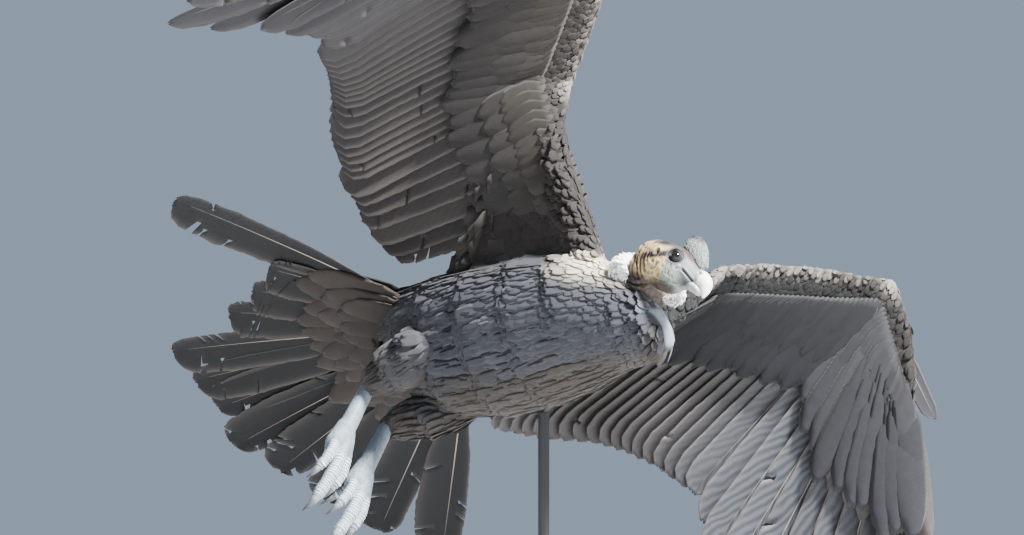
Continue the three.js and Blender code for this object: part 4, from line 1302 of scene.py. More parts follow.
def sculptHead(made):
    spots, normals = headSpotsOf(made)
    x, y, z = spots.T
    aside = np.abs(y)
    flank = smoothStep(10, 20, aside)
    atNape = smoothStep(-30, -42, x)
    cheekAway = np.hypot(x - face["cheek"][0], (z - face["cheek"][1]) * 0.9)
    warp = cloud(spots, 14, 2, 3.0)
    folds = np.sin(2 * math.pi * (cheekAway + 3.2 * warp) / face["napeWave"])
    sharpFolds = np.sign(folds) * np.abs(folds) ** 0.7
    height = face["napeFold"] * sharpFolds * atNape * smoothStep(-34, -10, z + 0.4 * (x + 30) + 24)
    worm = ridged(spots * np.array([1.0, 1.0, 0.7]), 5.2, 9.0)
    fine = ridged(spots * np.array([1.5, 1.0, 0.5]), 4.2, 21.0)
    onCheek = flank * smoothStep(-46, -34, x) * (1 - smoothStep(-10, 0, x))
    onCheek = onCheek * smoothStep(6, -4, z) * smoothStep(-44, -32, z)
    onJaw = flank * smoothStep(-10, 0, x) * (1 - smoothStep(18, 26, x))
    onJaw = onJaw * smoothStep(0, -6, z) * smoothStep(-40, -28, z)
    height += face["cheekFold"] * (worm - 0.35) * onCheek + 0.8 * (fine - 0.3) * onJaw
    height += 1.1 * near(x, z, (34, -14), (10, 9)) * smoothStep(6, 12, aside)
    crown = smoothStep(14, 22, z) * smoothStep(40, 20, x)
    height += 0.9 * (ridged(spots, 8, 33.0) - 0.3) * crown
    throat = smoothStep(-26, -38, z) * smoothStep(40, 26, x)
    height += 1.6 * (ridged(spots * np.array([0.5, 1.6, 1.0]), 9, 45.0) - 0.3) * throat
    height += 3.0 * throat * np.exp(-((y / 9) ** 2))
    height += 2.0 * near(x, z, (2, 17), (14, 3.5)) * flank
    height += 1.2 * near(x, z, (4, -8), (12, 3)) * flank
    mouthAway = awayFromLine(x, z, face["mouth"])
    lips = smoothStep(20, 26, x) * smoothStep(4, 8, aside)
    height += lips * (-2.6 * np.exp(-((mouthAway / 1.5) ** 2)) + 1.3 * np.exp(-(((mouthAway - 3.6) / 1.8) ** 2)))
    ear = np.hypot(x - face["ear"][0], (z - face["ear"][1]) / 1.3)
    height += flank * (-4.5 * np.exp(-((ear / 3.4) ** 2)) + 1.8 * np.exp(-(((ear - 6.2) / 1.9) ** 2)))
    onNeck = smoothStep(-54, -66, x)
    ring = np.sin(2 * math.pi * (x + 0.35 * z + 3 * warp) / 11)
    height += 1.7 * ring * onNeck
    height += 0.25 * cloud(spots, 3.2, 2, 60.0)
    eyeAway = np.hypot(x - face["eye"][0], z - face["eye"][2])
    keep = 1 - flank * (1 - smoothStep(10, 15, eyeAway))
    moved = spots + normals * (height * (0.12 + 0.88 * keep))[:, None]
    moved[:, 1] = lidSurface(spots, moved, eyeAway, flank)
    setPositions(made.data, toWorld(onHead(moved)))
    return {"spots": spots, "height": height, "worm": worm, "fine": fine, "onCheek": onCheek, "onJaw": onJaw,
            "crown": crown, "mouth": mouthAway, "ear": ear, "eye": eyeAway, "nape": atNape, "folds": sharpFolds}


def painted(tints, tones, layers):
    # tones laid over one another, each by its share at every point
    for name, share in layers:
        tints = blend(tints, toneOf(tones[name]), share)
    return tints


def tintHead(made, where):
    x, y, z = where["spots"].T
    aside = np.abs(y)
    flank = smoothStep(9, 18, aside)
    patches = cloud(where["spots"], 16, 3, 5.0)
    band = np.exp(-(((z - 3 - 0.42 * (x + 4)) / 6.4) ** 4)) * smoothStep(-56, -44, x)
    band = band * smoothStep(4, -2, x) * flank
    tints = painted(np.tile(toneOf(bareTones["cheek"]), (len(x), 1)), bareTones, [
        ("neck", smoothStep(-50, -66, x)),
        ("nape", where["nape"] * 0.8),
        ("jaw", smoothStep(-8, 0, x + 2 * patches) * smoothStep(8, 0, z)),
        ("lore", smoothStep(12, 20, x) * smoothStep(-18, -12, z)),
        ("crown", smoothStep(9, 16, z + 2 * patches)),
        ("pale", near(x, z, (-14, 13), (13, 4)) * flank * 0.7),
        # painted shadow under the head, on the throat
        ("throat", smoothStep(-34, -43, z + 2 * patches) * smoothStep(34, 22, x)),
        ("gapeAndMouthShade", np.clip(1.3 * near(x, z, (40, -27), (11, 7)), 0, 1) * smoothStep(3, 8, aside)),
        ("band", np.clip(band * 1.15, 0, 1)),
        ("crownDarkAndCombShadow", np.clip(1.5 * near(x + 3 * patches, z, (-31, 22), (12, 7)), 0, 1)),
        # painted shadow of the comb, on the face between the eye and the comb
        ("crownDarkAndCombShadow", np.clip(1.5 * near(x, z, (9, 12.5), (9, 6)), 0, 1)),
        ("eyePatchAndEarShade", smoothStep(19, 12, where["eye"]) * flank),
        # painted shade along the groove of the mouth line
        ("gapeAndMouthShade", np.exp(-((where["mouth"] / 1.9) ** 2)) * smoothStep(22, 27, x)),
        # painted shade in the ear hole
        ("eyePatchAndEarShade", np.exp(-((where["ear"] / 3.6) ** 2)) * flank),
    ])
    # Painted shade and highlight: the tint is darkened in the hollows of folds and wrinkles and lightened on their
    # ridges, with some mottling
    relief = where["folds"] * where["nape"] * 0.6 + (where["worm"] - 0.35) * where["onCheek"] * 0.8
    relief += (where["fine"] - 0.25) * where["onJaw"] * 0.9
    relief += where["height"] * 0.12 * (1 - where["nape"]) + 0.12 * patches
    tints *= np.clip(1 + relief, 0.28, 1.7)[:, None]
    storeTints(made.data, np.clip(tints, 0.008, 0.9))
    store(made.data, "headSpot", "FLOAT_VECTOR", where["spots"])
    pebbled = where["onJaw"] + 0.6 * where["onCheek"] + 0.4 * where["crown"]
    store(made.data, "pebbled", "FLOAT", np.clip(pebbled, 0, 1))


def bareSkin():
    # bare, dry bird skin: leathery and matt, finely pebbled on the jaw
    material, tree, shader = newMaterial("bareWrinkledSkin")
    spot = attributeOf(tree, "headSpot", "Vector")
    grains = {"Vector": spot, "Scale": 0.62, "Randomness": 0.9}  # 1.6 mm grains
    pebbles = addNode(tree, "ShaderNodeTexVoronoi", {"feature": "F1"}, grains).outputs["Distance"]
    holes = {"Vector": spot, "Scale": 1.4, "Detail": 4.0, "Roughness": 0.7}
    pores = addNode(tree, "ShaderNodeTexNoise", inputs=holes).outputs["Fac"]
    grain = maths(tree, "MULTIPLY", maths(tree, "SUBTRACT", 0.55, pebbles), attributeOf(tree, "pebbled", "Fac"))
    value = maths(tree, "MULTIPLY_ADD", grain, 0.75, maths(tree, "MULTIPLY_ADD", pores, 0.5, 0.75))
    dress(tree, shader, shadedTint(tree, value), {
        "Roughness": maths(tree, "MULTIPLY_ADD", pores, 0.25, 0.45), "Specular IOR Level": 0.35,
    }, (maths(tree, "MULTIPLY_ADD", pores, 0.6, grain), 0.6, 0.0006))
    return material


finishes["skin"] = bareSkin()
headSkin = makeHeadSkin()
headMap = sculptHead(headSkin)
tintHead(headSkin, headMap)
unwrap(headSkin, *bakeBands["head"])
print("head sculpted:", len(headSkin.data.polygons), "faces")

# Eyes: a dark brown iris round a black pupil under a clear, wet surface
eyeLook = {"iris": "#1d130d", "rim": "#090605", "pupil": "#050505", "pupilAngle": 22, "irisAngle": 46}


def wetEye():
    # cornea: clear and always wet, so its light is small and sharp over a dark iris
    material, tree, shader = newMaterial("wetCornea")
    place = addNode(tree, "ShaderNodeTexCoord").outputs["Object"]
    spokes = addNode(tree, "ShaderNodeTexNoise", inputs={"Vector": place, "Scale": 900.0}).outputs["Fac"]
    uneven = maths(tree, "MULTIPLY_ADD", spokes, 6.0, attributeOf(tree, "offAxis", "Fac"))
    pupil, iris = eyeLook["pupilAngle"] / 90, eyeLook["irisAngle"] / 90
    tint = ramp(tree, maths(tree, "DIVIDE", uneven, 90.0), [
        (0.0, eyeLook["pupil"]), (pupil, eyeLook["pupil"]), (pupil + 0.05, eyeLook["iris"]),
        (iris, eyeLook["iris"]), (iris + 0.08, eyeLook["rim"]), (1.0, eyeLook["rim"]),
    ])
    dress(tree, shader, tint, {"Roughness": 0.06, "Coat Weight": 1.0, "Coat Roughness": 0.02})
    return material


finishes["eye"] = wetEye()


def makeEye(name, side):
    form = bmesh.new()
    bmesh.ops.create_uvsphere(form, u_segments=40, v_segments=28, radius=face["eyeRadius"])
    mesh = bpy.data.meshes.new(name)
    form.to_mesh(mesh)
    form.free()
    axis = np.array((0.3, side * 0.94, 0.05))
    axis /= np.linalg.norm(axis)
    local = positionsOf(mesh)
    cosine = np.clip(local @ axis / face["eyeRadius"], -1, 1)
    angle = np.degrees(np.arccos(cosine))
    bulge = 1 + 0.035 * np.exp(-((angle / 26) ** 2))
    spots = local * bulge[:, None] + np.array((face["eye"][0], side * face["eye"][1], face["eye"][2]))
    setPositions(mesh, toWorld(onHead(spots)))
    store(mesh, "offAxis", "FLOAT", angle)
    mesh.polygons.foreach_set("use_smooth", [True] * len(mesh.polygons))
    made = bpy.data.objects.new(name, mesh)
    bpy.context.scene.collection.objects.link(made)
    tidyNormals(made)
    made.data.materials.append(finishes["eye"])
    return made


eyes = {side: makeEye(f"{side}Eye", 1 if side == "left" else -1) for side in ("left", "right")}

# The fleshy comb over the bill of a male, pale and pebbled with a dark crest: along, foot, crest,
# half thickness and middle to the left
comb = {
    "stations": [
        (-8, 32, 55, 4.5, 0), (-2, 26, 63, 8.5, 0), (9, 20, 63.5, 10, 0), (20, 14, 58, 10, 0),
        (31, 8, 48, 9, 0), (41, 3, 34, 7.5, 0), (49, 0, 20, 4, 0),
    ],
    "voxel": 0.0009, "pebble": 1.0, "tone": "#545a58", "dark": "#1d2022", "low": "#2b2e30",
}


def makeComb():
    rings = []
    for x, foot, crest, half, aside in smoothStations(comb["stations"], 30):
        middle = (foot + crest) / 2
        rise, drop = crest - middle, middle - foot + 2
        rings.append(ringOf(Vector((x, aside, middle)), leftward, upward, (half, half), rise, drop, 26))
    made = makeObject("combFlesh", *placedOnHead(loft(rings)))
    tidyNormals(made)
    remeshed(made, comb["voxel"], 4)
    spots, normals = headSpotsOf(made)
    x, y, z = spots.T
    alongs, feet, crests = [[row[c] for row in comb["stations"]] for c in range(3)]
    crest, foot = np.interp(x, alongs, crests), np.interp(x, alongs, feet)
    level = (z - foot) / np.maximum(crest - foot, 1)
    streak = ridged(spots * np.array([1.6, 1.0, 0.55]), 5.0, 2.0)
    grain = ridged(spots, 2.6, 12.0)
    height = comb["pebble"] * (0.7 * (streak - 0.3) + 0.6 * (grain - 0.3))
    height -= 1.3 * np.exp(-(((level - 0.12) / 0.07) ** 2))
    setPositions(made.data, toWorld(onHead(spots + normals * height[:, None])))
    patches = cloud(spots, 12, 2, 8.0)
    tints = painted(np.tile(toneOf(comb["tone"]), (len(x), 1)), comb, [
        ("dark", smoothStep(0.66, 0.84, level + 0.12 * patches) * smoothStep(30, 16, x)),
        ("low", smoothStep(0.24, 0.08, level + 0.05 * patches) * 0.6),
        ("dark", smoothStep(41, 48, x + 2 * patches) * smoothStep(1.0, 0.7, level) * 0.9),
    ])
    # Painted shade and highlight: darker in the hollows between pebbles and in the groove, lighter on the pebbles,
    # with some mottling
    tints *= np.clip(1 + 0.75 * height + 0.15 * patches, 0.25, 1.8)[:, None]
    storeTints(made.data, np.clip(tints, 0.01, 0.9))
    store(made.data, "headSpot", "FLOAT_VECTOR", spots)
    store(made.data, "pebbled", "FLOAT", np.ones(len(x)))
    made.data.materials.append(finishes["skin"])
    unwrap(made)
    return made


combFlesh = makeComb()

# The bill: an ivory front over a darker, greyer base
bill = {
    "upper": [(42, 0, -4), (54, 0, -5), (63, 0, -10), (69, 0, -19), (73, 0, -33)],
    "upperSizes": [
        (0, 13, 15), (0.22, 12.5, 14.5), (0.45, 11.5, 13), (0.65, 9.5, 10.5), (0.84, 6, 7), (1, 1.4, 1.8),
    ],
    "lower": [(34, 0, -20), (52, 0, -24), (60, 0, -27), (66, 0, -29)],
    "lowerSizes": [(0, 11, 7), (0.45, 10.2, 6.2), (0.8, 6.5, 5), (1, 2.2, 2.4)],
    "nostril": (50, 0), "ivory": "#ece7da", "base": "#7d8083", "dark": "#35373a", "under": "#8e9295",
}


def hornOfBill():
    # keratin sheath: dense, smooth and slightly waxy, with faint growth lines along it
    material, tree, shader = newMaterial("billHorn")
    spot = attributeOf(tree, "headSpot", "Vector")
    drawn = addNode(tree, "ShaderNodeVectorMath", {"operation": "MULTIPLY"}, {0: spot, 1: (0.08, 0.6, 0.6)})
    streaks = {"Vector": drawn.outputs[0], "Scale": 1.0, "Detail": 4.0}
    lines = addNode(tree, "ShaderNodeTexNoise", inputs=streaks).outputs["Fac"]
    dress(tree, shader, shadedTint(tree, maths(tree, "MULTIPLY_ADD", lines, 0.3, 0.85)), {
        "Roughness": maths(tree, "MULTIPLY_ADD", lines, 0.2, 0.26), "IOR": 1.54,
    }, (lines, 0.25, 0.0006))
    return material


finishes["horn"] = hornOfBill()


def makeBill(name, path, sizes, upper):
    made = makeObject(name, *placedOnHead(limb(curve(path), smoothSizes(sizes, 26), leftward, 28)))
    tidyNormals(made)
    finer = made.modifiers.new("finer", "SUBSURF")
    finer.levels = finer.render_levels = 1
    baked(made)
    spots, normals = headSpotsOf(made)
    x, y, z = spots.T
    tints = np.tile(toneOf(bill["ivory"] if upper else bill["under"]), (len(x), 1))
    height = np.zeros(len(x))
    if upper:
        hole = np.hypot((x - bill["nostril"][0]) / 1.5, z - bill["nostril"][1])
        onSide = smoothStep(6, 9, np.abs(y))
        height -= 3.2 * np.exp(-((hole / 2.1) ** 2)) * onSide
        height += 0.5 * np.exp(-(((hole - 3.6) / 1.0) ** 2)) * onSide
        tints = painted(tints, bill, [
            ("base", smoothStep(55, 48, x + 1.5 * cloud(spots, 9, 2, 1.0))),
            # painted shade in the nostril hole
            ("dark", np.exp(-((hole / 2.6) ** 2)) * onSide),
            ("base", smoothStep(-14, -19, z) * smoothStep(66, 58, x) * 0.6),
        ])
    else:
        tints = painted(tints, bill, [("dark", smoothStep(46, 38, x) * 0.7)])
    setPositions(made.data, toWorld(onHead(spots + normals * height[:, None])))
    storeTints(made.data, tints)
    store(made.data, "headSpot", "FLOAT_VECTOR", spots)
    made.data.materials.append(finishes["horn"])
    return made


def smoothSizes(sizes, rows):
    read = series(sizes)
    return [(share, *read(share)) for share in shares(rows)]


upperBill = makeBill("upperBill", bill["upper"], bill["upperSizes"], True)
lowerBill = makeBill("lowerBill", bill["lower"], bill["lowerSizes"], False)
print("eyes, comb and bill made")

# The ruff: a thick white collar of down round the foot of the neck
ruff = {
    "middle": (253, -39, 0), "axis": (0.74, -0.58, 0.34), "radius": 48, "tube": 14, "tufts": 4200,
    "open": (0.3, -0.25, -0.92), "opening": (-0.1, 0.38), "drawnIn": 22, "length": 14, "width": 8,
    "tone": "#f7f6f3", "shadow": "#dcdad6", "around": 48, "across": 14,
}


def downPlumage():
    # down has no firm barbs: soft, bright and almost without gloss
    material, tree, shader = newMaterial("softDown")
    value = maths(tree, "MULTIPLY_ADD", vaneSpots(tree)[1], 0.16, 0.78)
    value = maths(tree, "MULTIPLY_ADD", attributeOf(tree, "shade", "Fac"), 0.14, value)
    dress(tree, shader, shadedTint(tree, value), {
        "Roughness": 0.95, "Specular IOR Level": 0.15, "Sheen Weight": 0.5, "Sheen Roughness": 0.4,
    })
    return material


finishes["down"] = downPlumage()
shapes["down"] = featherSet("downTuft", 5, columns=6, rows=5, lift=0.16, cup=0.08, ragged=0.2)


def ruffSpot(turn):
    # a place on the collar's middle line, at an angle round the neck
    axis = Vector(ruff["axis"]).normalized()
    aside = axis.cross(upward).normalized()
    outward = aside * math.cos(turn) + aside.cross(axis) * math.sin(turn)
    full = ruffFullness(outward)
    centre = Vector(ruff["middle"]) + outward * ruff["radius"] - outward * (ruff["drawnIn"] * (1 - full))
    return centre, outward, axis, full


def ruffFullness(outward):
    # the collar is open under the throat
    axis = Vector(ruff["axis"]).normalized()
    front = Vector(ruff["open"])
    front = (front - axis * front.dot(axis)).normalized()
    low, high = ruff["opening"]
    return 1 - float(smoothStep(low, high, outward.dot(front)))


def ruffCoreForm():
    around, across = ruff["around"], ruff["across"]
    points, faces = [], []
    for i in range(around):
        centre, outward, axis, full = ruffSpot(2 * math.pi * i / around)
        size = ruff["tube"] * max(0.15, full)
        for k in range(across):
            angle = 2 * math.pi * k / across
            points.append(centre + outward * (math.cos(angle) * size) + axis * (math.sin(angle) * size))
            here, there, beside = i * across, (i + 1) % around * across, (k + 1) % across
            faces.append((here + k, there + k, there + beside, here + beside))
    return points, faces


def makeRuff():
    core = makeObject("ruffCore", *ruffCoreForm())
    tidyNormals(core)
    storeTints(core.data, np.tile(toneOf(ruff["shadow"]), (len(core.data.vertices), 1)))
    core.data.materials.append(finishes["down"])
    unwrap(core)
    fullTurn = 2 * math.pi
    rows = []
    for _ in range(ruff["tufts"]):
        turn = random.uniform(0, fullTurn)
        tube = random.uniform(-2.5, 2.2)
        centre, outward, axis, full = ruffSpot(turn)
        if full < 0.12:
            continue
        normal = outward * math.cos(tube) + axis * math.sin(tube)
        place = centre + normal * (ruff["tube"] * full - 1.5)
        back = (-axis * math.cos(tube) + outward * math.sin(tube)).normalized()
        lie = (back + outward * 0.35 + Vector([random.uniform(-0.25, 0.25) for _ in range(3)])).normalized()
        size = random.uniform(0.8, 1.2) * (0.45 + 0.55 * full)
        tint = toneOf(ruff["tone"]) * random.uniform(0.9, 1.04)
        spot = (turn / fullTurn, 0.5 + tube / fullTurn)
        rows.append((place, lie, normal, ruff["width"] * size, ruff["length"] * size, tint, spot))
    roots = rootsMesh("ruffRoots", rows)
    return core, feathered("ruffDown", roots, shapes["down"], finishes["down"], "roots", **{"Turn Spread": 0.25})


ruffCore, ruffDown = makeRuff()

# Feet: bare, pale blue-grey skin with plates across the front of shank and toes
feet = {
    "ankle": (-26, 0, -115), "shank": 14, "voxel": 0.0011,
    "sole": [(4, 0, 34), (2, 0, -4), (-4, 0, -42)],
    "soleSizes": [(0, 15, 14), (0.35, 23, 18), (0.7, 30, 19), (1, 24, 12)],
    "swell": [(0, 1.05), (0.2, 1.08), (0.4, 0.92), (0.58, 1.05), (0.74, 0.9), (0.88, 0.98), (1, 0.66)],
    "plate": 5.0, "plateRise": 1.1, "tone": "#66717a", "rim": "#dfe6ea", "groove": "#49535c", "under": "#6f777c",
}
toes = {
    "outer": {"start": (2, 19, -22), "aim": (-0.16, 0.1, -0.97), "length": 66, "thick": 9, "claw": 20},
    "middle": {"start": (7, 0, -22), "aim": (-0.23, 0, -0.97), "length": 108, "thick": 11.4, "claw": 25},
    "inner": {"start": (2, -19, -22), "aim": (-0.18, -0.1, -0.97), "length": 60, "thick": 9, "claw": 20},
    "hind": {"start": (-14, -3, -8), "aim": (-0.6, -0.1, -0.78), "length": 36, "thick": 7, "claw": 18},
}
forwardAxis = Vector((1, 0, 0))


def ankleOf(side):
    return hockOf(side) + Vector(feet["ankle"])


def toePath(side, toe):
    x, y, z = toe["start"]
    root = ankleOf(side) + Vector((x, side * y, z))
    aim = Vector((toe["aim"][0], side * toe["aim"][1], toe["aim"][2])).normalized()
    middle = root + aim * (toe["length"] * 0.5) + forwardAxis * 7
    return curve([root - aim * 14, middle, root + aim * toe["length"]])


def footLimbs(side):
    # path, radius, length and start of the plates along the shank and each toe
    hock, ankle = hockOf(side), ankleOf(side)
    shank = curve([hock.lerp(ankle, -0.3), hock, hock.lerp(ankle, 0.5), ankle])
    limbs = [(shank, lambda share: feet["shank"] * (0.72 + 0.43 * share), 150, 2)]
    swell = series(feet["swell"])
    for toe in toes.values():
        radius = lambda share, thick=toe["thick"]: thick * swell(share)[0]
        limbs.append((toePath(side, toe), radius, toe["length"] + 14, 0.18))
    return limbs


def nearestLimb(spots, limbs):
    # how far each point is from a limb's surface and along it, and whether plates cover it
    best = np.full(len(spots), 1e9)
    travel, plated = np.zeros(len(spots)), np.zeros(len(spots))
    for path, size, length, first in limbs:
        stops = shares(90)
        line = np.array([tuple(path(share)) for share in stops])
        sizes = np.array([size(share) for share in stops])
        gaps = np.linalg.norm(spots[:, None, :] - line[None], axis=2) - sizes[None]
        ids = np.argmin(gaps, axis=1)
        away = gaps[np.arange(len(spots)), ids]
        mine = away < best
        best = np.where(mine, away, best)
        share = ids / 89
        travel = np.where(mine, share * length, travel)
        plated = np.where(mine, smoothStep(first, first + 0.1, share) * smoothStep(1.0, 0.95, share), plated)
    return best, travel, plated


def makeFoot(name, side):
    limbs = footLimbs(side)
    parts = []
    for path, size, _, _ in limbs:
        sizes = [(share, size(share), size(share) * 0.95) for share in shares(18)]
        parts.append(limb(path, sizes, leftward, 24))
    sole = curve([ankleOf(side) + Vector(p) for p in feet["sole"]])
    parts.append(limb(sole, smoothSizes(feet["soleSizes"], 12), leftward, 28))
    made = makeObject(name, *joined(parts))
    tidyNormals(made)
    remeshed(made, feet["voxel"], 8)
    spots = toBird(positionsOf(made.data))
    normals = normalsOf(made.data) @ turnArray
    best, travel, plated = nearestLimb(spots, limbs)
    travel = spread(made.data, travel[:, None], 2)[:, 0]
    facing = smoothStep(-0.15, 0.35, normals[:, 0])
    wobble = cloud(spots, 11, 2, 4.0)
    phase = ((travel + 1.4 * wobble) / feet["plate"]) % 1.0
    saw = np.where(phase < 0.82, phase / 0.82, (1 - phase) / 0.18)
    clear = smoothStep(7, 3, best)
    scute = plated * facing * clear
    warts = np.array([noise.voronoi(Vector(p) / 3.4)[0][0] for p in spots])
    grains = (1 - scute) * (0.5 - warts)
    height = feet["plateRise"] * (saw - 0.4) * scute + 0.9 * grains
    setPositions(made.data, toWorld(spots + normals * height[:, None]))
    tints = painted(np.tile(toneOf(feet["tone"]), (len(spots), 1)), feet, [
        ("under", smoothStep(0.1, -0.6, normals[:, 0]) * 0.8),
        ("rim", scute * smoothStep(0.6, 0.95, saw) * 0.85),
        ("groove", scute * smoothStep(0.3, 0.02, saw) * 0.75),
        ("groove", (1 - scute) * smoothStep(0.45, 0.75, warts) * 0.4),
    ])
    storeTints(made.data, np.clip(tints * (1 + 0.12 * wobble)[:, None], 0.01, 0.92))
    store(made.data, "headSpot", "FLOAT_VECTOR", spots)
    store(made.data, "pebbled", "FLOAT", (1 - scute) * 0.5)
    made.data.materials.append(finishes["scute"])
    unwrap(made)
    return made


def platedSkin():
    # horny plates over bare skin: dry and chalky, a dull gloss where the plates are worn
    material, tree, shader = newMaterial("hornyScutes")
    spot = attributeOf(tree, "headSpot", "Vector")
    pores = addNode(tree, "ShaderNodeTexNoise", inputs={"Vector": spot, "Scale": 0.9, "Detail": 4.0}).outputs["Fac"]
    cells = {"Vector": spot, "Scale": 0.7}  # 1.4 mm grains
    grains = addNode(tree, "ShaderNodeTexVoronoi", {"feature": "F1"}, cells).outputs["Distance"]
    pebbles = maths(tree, "MULTIPLY", grains, attributeOf(tree, "pebbled", "Fac"))
    dress(tree, shader, shadedTint(tree, maths(tree, "MULTIPLY_ADD", pores, 0.4, 0.8)), {
        "Roughness": maths(tree, "MULTIPLY_ADD", pores, 0.3, 0.42),
    }, (maths(tree, "MULTIPLY_ADD", pebbles, -1.0, pores), 0.5, 0.0005))
    return material


finishes["scute"] = platedSkin()
footPieces = {side: makeFoot(f"{side}Foot", 1 if side == "left" else -1) for side in ("left", "right")}
print("feet made:", len(footPieces["left"].data.polygons), "faces each")

clawLook = {"base": "#8b9092", "middle": "#55585c", "tip": "#2c2d30"}


def clawHorn():
    # claws: dark keratin, worn smooth and glossier towards the tip
    material, tree, shader = newMaterial("clawHorn")
    along = attributeOf(tree, "along", "Fac")
    place = addNode(tree, "ShaderNodeTexCoord").outputs["Object"]
    grooves = {"Vector": place, "Scale": 260.0, "Detail": 3.0}  # 4 mm streaks
    streaks = addNode(tree, "ShaderNodeTexNoise", inputs=grooves).outputs["Fac"]
    level = maths(tree, "MULTIPLY_ADD", maths(tree, "SUBTRACT", streaks, 0.5), 0.35, along)
    tint = ramp(tree, level, [(0.0, clawLook["base"]), (0.45, clawLook["middle"]), (1.0, clawLook["tip"])])
    dress(tree, shader, tint, {"Roughness": maths(tree, "MULTIPLY_ADD", streaks, 0.25, 0.25)})
    return material


finishes["claw"] = clawHorn()


def makeClaw(name, side, toe):
    path = toePath(side, toe)
    aim = (path(1) - path(0.97)).normalized()
    size = toe["thick"] * 0.62
    base = path(1) - aim * 2.5
    length = toe["claw"] + 3
    middle = base + aim * (length * 0.5) - forwardAxis * 1.5
    hooked = curve([base, middle, base + aim * length - forwardAxis * (length * 0.4)])
    taper = [(0, 1, 1), (0.35, 0.85, 0.9), (0.7, 0.5, 0.56), (0.92, 0.2, 0.24)]
    sizes = smoothSizes([(share, size * wide, size * tall) for share, wide, tall in taper] + [(1, 0.6, 0.6)], 16)
    points, faces = limb(hooked, sizes, leftward, 18)
    made = makeObject(name, points, faces)
    tidyNormals(made)
    spots = toBird(positionsOf(made.data))
    store(made.data, "along", "FLOAT", np.clip(np.linalg.norm(spots - np.array(base), axis=1) / length, 0, 1))
    made.data.materials.append(finishes["claw"])
    return made


claws = {}
for side in ("left", "right"):
    for toe in toes:
        claws[(side, toe)] = makeClaw(f"{side}Claw_{toe}", 1 if side == "left" else -1, toes[toe])

# The alula: three short dark feathers on the wrist
vaneShapes["alula"] = {"widths": [(0, 10), (0.2, 26), (0.5, 34), (0.88, 27), (0.96, 16), (1, 4)], "inner": 0.6}
alula = {"count": 3, "height": 3, "lift": 5, "fan": 12, "tone": "#2e2d31"}


def makeAlula(label, wing):
    root, tip = [Vector(p) for p in wing["thumb"]]
    hand = [one for one in wing["flights"] if one["part"] == "hand"]
    normal = hand[4]["normal"]
    rows = []
    for i in range(alula["count"]):
        height = 1 + i * alula["height"]
        end = tip + normal * (height + alula["lift"]) - hand[4]["span"] * (i * alula["fan"])
        rows.append({"root": root + normal * height, "tip": end, "normal": normal, "kind": "alula",
                     "side": wing["side"], "twist": 0, "bow": 0.02, "wear": 0.3,
                     "tint": toneOf(alula["tone"]), "banding": 0.05})
    return makeVanes(f"{label}Alula", rows)


alulae = {label: makeAlula(label, wing) for label, wing in wings.items()}

# Display stand: a turned steel base and rod with a dull black powder coat
stand = {
    "base": 0.290, "thick": 0.014, "bevel": 0.003, "flange": 0.024, "flangeTop": 0.007, "collarTop": 0.010,
    "collar": 0.003, "rodFoot": 0.014, "rod": 0.009, "rodTop": 0.655, "gap": 0.0003,
    "dark": "#1e1f20", "light": "#2b2c2e",
}


def powderCoat():
    # baked powder on steel: even and dull, with a faint orange-peel texture
    material, tree, shader = newMaterial("powderCoatedSteel")
    place = addNode(tree, "ShaderNodeTexCoord").outputs["Object"]
    texture = {"Vector": place, "Scale": 700.0, "Detail": 2.0}  # 1.5 mm texture
    peel = addNode(tree, "ShaderNodeTexNoise", inputs=texture).outputs["Fac"]
    cloudy = addNode(tree, "ShaderNodeTexNoise", inputs={"Vector": place, "Scale": 12.0}).outputs["Fac"]
    dress(tree, shader, ramp(tree, cloudy, [(0.0, stand["dark"]), (1.0, stand["light"])]), {
        "Roughness": maths(tree, "MULTIPLY_ADD", cloudy, 0.12, 0.42),
    }, (peel, 0.25, 0.0004))
    return material


finishes["steel"] = powderCoat()


def turned(name, profile, count):
    # a profile of radius and height turned round the upright
    form = bmesh.new()
    angles = [2 * math.pi * i / count for i in range(count)]
    rows = []
    for radius, height in profile:
        rows.append([form.verts.new((radius * math.cos(a), radius * math.sin(a), height)) for a in angles])
    for low, high in zip(rows, rows[1:]):
        for i in range(count):
            form.faces.new((low[i], low[(i + 1) % count], high[(i + 1) % count], high[i]))
    form.faces.new(list(reversed(rows[0])))
    form.faces.new(rows[-1])
    bmesh.ops.recalc_face_normals(form, faces=form.faces)
    mesh = bpy.data.meshes.new(name)
    form.to_mesh(mesh)
    form.free()
    made = bpy.data.objects.new(name, mesh)
    bpy.context.scene.collection.objects.link(made)
    soft = made.modifiers.new("edges", "BEVEL")
    soft.width = 0.0012
    soft.segments = 3
    soft.limit_method = "ANGLE"
    baked(made)
    made.data.polygons.foreach_set("use_smooth", [abs(face.normal.z) < 0.99 for face in made.data.polygons])
    made.data.materials.append(finishes["steel"])
    return made


def makeStand():
    radius, bevel, rod = stand["base"], stand["bevel"], stand["rod"]
    low = stand["thick"]
    high = low + stand["gap"]
    base = turned("standBase", [(radius, 0), (radius, low - bevel), (radius - bevel, low)], 128)
    rodProfile = [
        (stand["flange"], high), (stand["flange"], high + stand["flangeTop"]),
        (rod + stand["collar"], high + stand["collarTop"]), (rod, high + stand["rodFoot"]), (rod, stand["rodTop"]),
    ]
    return base, turned("standRod", rodProfile, 48)


standBase, standRod = makeStand()
print("feet, claws, alulae and stand made")


# One skin: the head and neck go into the body's own mesh
def joinSkins():
    headSkin.data.materials.clear()
    headSkin.data.materials.append(finishes["skin"])
    selectOnly(bodySkin, headSkin)
    bpy.ops.object.join()


joinSkins()

# A hard, high key light for the sun, a faint fill and a pale blue sky
studio = {
    "sky": (0.62, 0.78, 1.0, 1), "skyStrength": 0.46, "aim": (0, 0, 0.9), "floor": "#d9dadb", "floorHalf": 12,
    "lamps": [("keyLight", (2.6, -1.6, 4.7), 0.8, 2600), ("fillLight", (-3, -5, 1.5), 3, 40)],
}


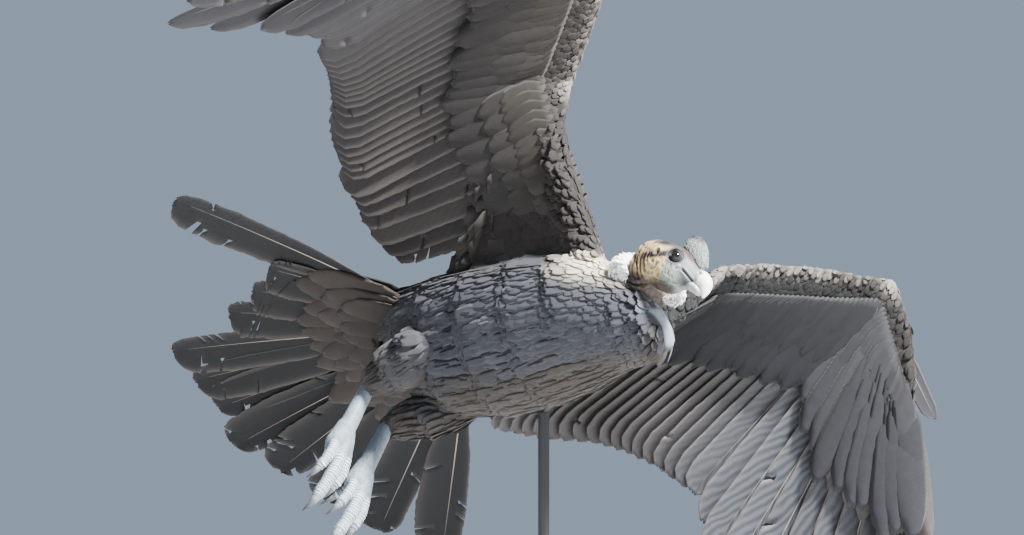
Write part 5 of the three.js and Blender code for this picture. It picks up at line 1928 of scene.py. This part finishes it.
def setLights():
    world = bpy.data.worlds.new("studioWorld")
    bpy.context.scene.world = world
    world.use_nodes = True
    background = world.node_tree.nodes["Background"].inputs
    background["Color"].default_value = studio["sky"]
    background["Strength"].default_value = studio["skyStrength"]
    for name, place, size, power in studio["lamps"]:
        data = bpy.data.lights.new(name, "AREA")
        data.size = size
        data.energy = power
        lamp = bpy.data.objects.new(name, data)
        bpy.context.scene.collection.objects.link(lamp)
        lamp.location = place
        lamp.rotation_euler = (Vector(studio["aim"]) - Vector(place)).to_track_quat("-Z", "Y").to_euler()
        lamp.visible_camera = False


setLights()


def makeFloor():
    half = studio["floorHalf"]
    mesh = bpy.data.meshes.new("floor")
    mesh.from_pydata([(-half, -half, 0), (half, -half, 0), (half, half, 0), (-half, half, 0)], [], [(0, 1, 2, 3)])
    floor = bpy.data.objects.new("floor", mesh)
    bpy.context.scene.collection.objects.link(floor)
    material, tree, shader = newMaterial("paleFloor")
    dress(tree, shader, colour(studio["floor"]), {"Roughness": 0.8})
    mesh.materials.append(material)


makeFloor()

# What each piece rides on, which CAD nodes it stands for and which slot its finish belongs to
named = {made.name: made for made in pieces}


def handIn(made, slot, *nodes):
    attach(made, "root")
    if nodes:
        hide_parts(*nodes)


wingNodes = [f"wing_{side}_{part}" for side in ("left", "right") for part in ("upper", "forearm", "hand")]
handIn(bodySkin, "plumage", "torso", "thigh_left", "thigh_right", "head", "neck", *wingNodes)
for name, slot, nodes in (
    ("bodyFeathers", "plumage", ["torso", "thigh_left", "thigh_right"]), ("wingFeathers", "plumage", wingNodes),
    ("leftWingFlights", "flight_feather", wingNodes[:3]),
    ("leftWingFlightsShafts", "flight_feather", wingNodes[:3]),
    ("rightWingFlights", "flight_feather", wingNodes[3:]),
    ("rightWingFlightsShafts", "flight_feather", wingNodes[3:]),
    ("leftWingCoverts", "plumage", wingNodes[:3]), ("rightWingCoverts", "plumage", wingNodes[3:]),
    ("tailFeathers", "flight_feather", ["tail"]), ("tailFeathersShafts", "flight_feather", ["tail"]),
    ("tailCoverts", "plumage", ["tail", "torso"]),
):
    handIn(named[name], slot, *nodes)
for side in ("left", "right"):
    handIn(eyes[side], "eye", f"eye_{side}")
    handIn(footPieces[side], "scute", f"foot_{side}")
    for made in alulae[side]:
        handIn(made, "flight_feather", f"wing_{side}_alula")
    for toe in toes:
        handIn(claws[(side, toe)], "claw", f"claw_{side}_{toe}")
handIn(combFlesh, "comb", "comb")
handIn(upperBill, "bill", "bill_upper")
handIn(lowerBill, "bill", "bill_lower")
handIn(ruffCore, "down", "ruff")
handIn(ruffDown, "down", "ruff")
handIn(standBase, "stand", "stand_base")
handIn(standRod, "stand", "stand_rod")
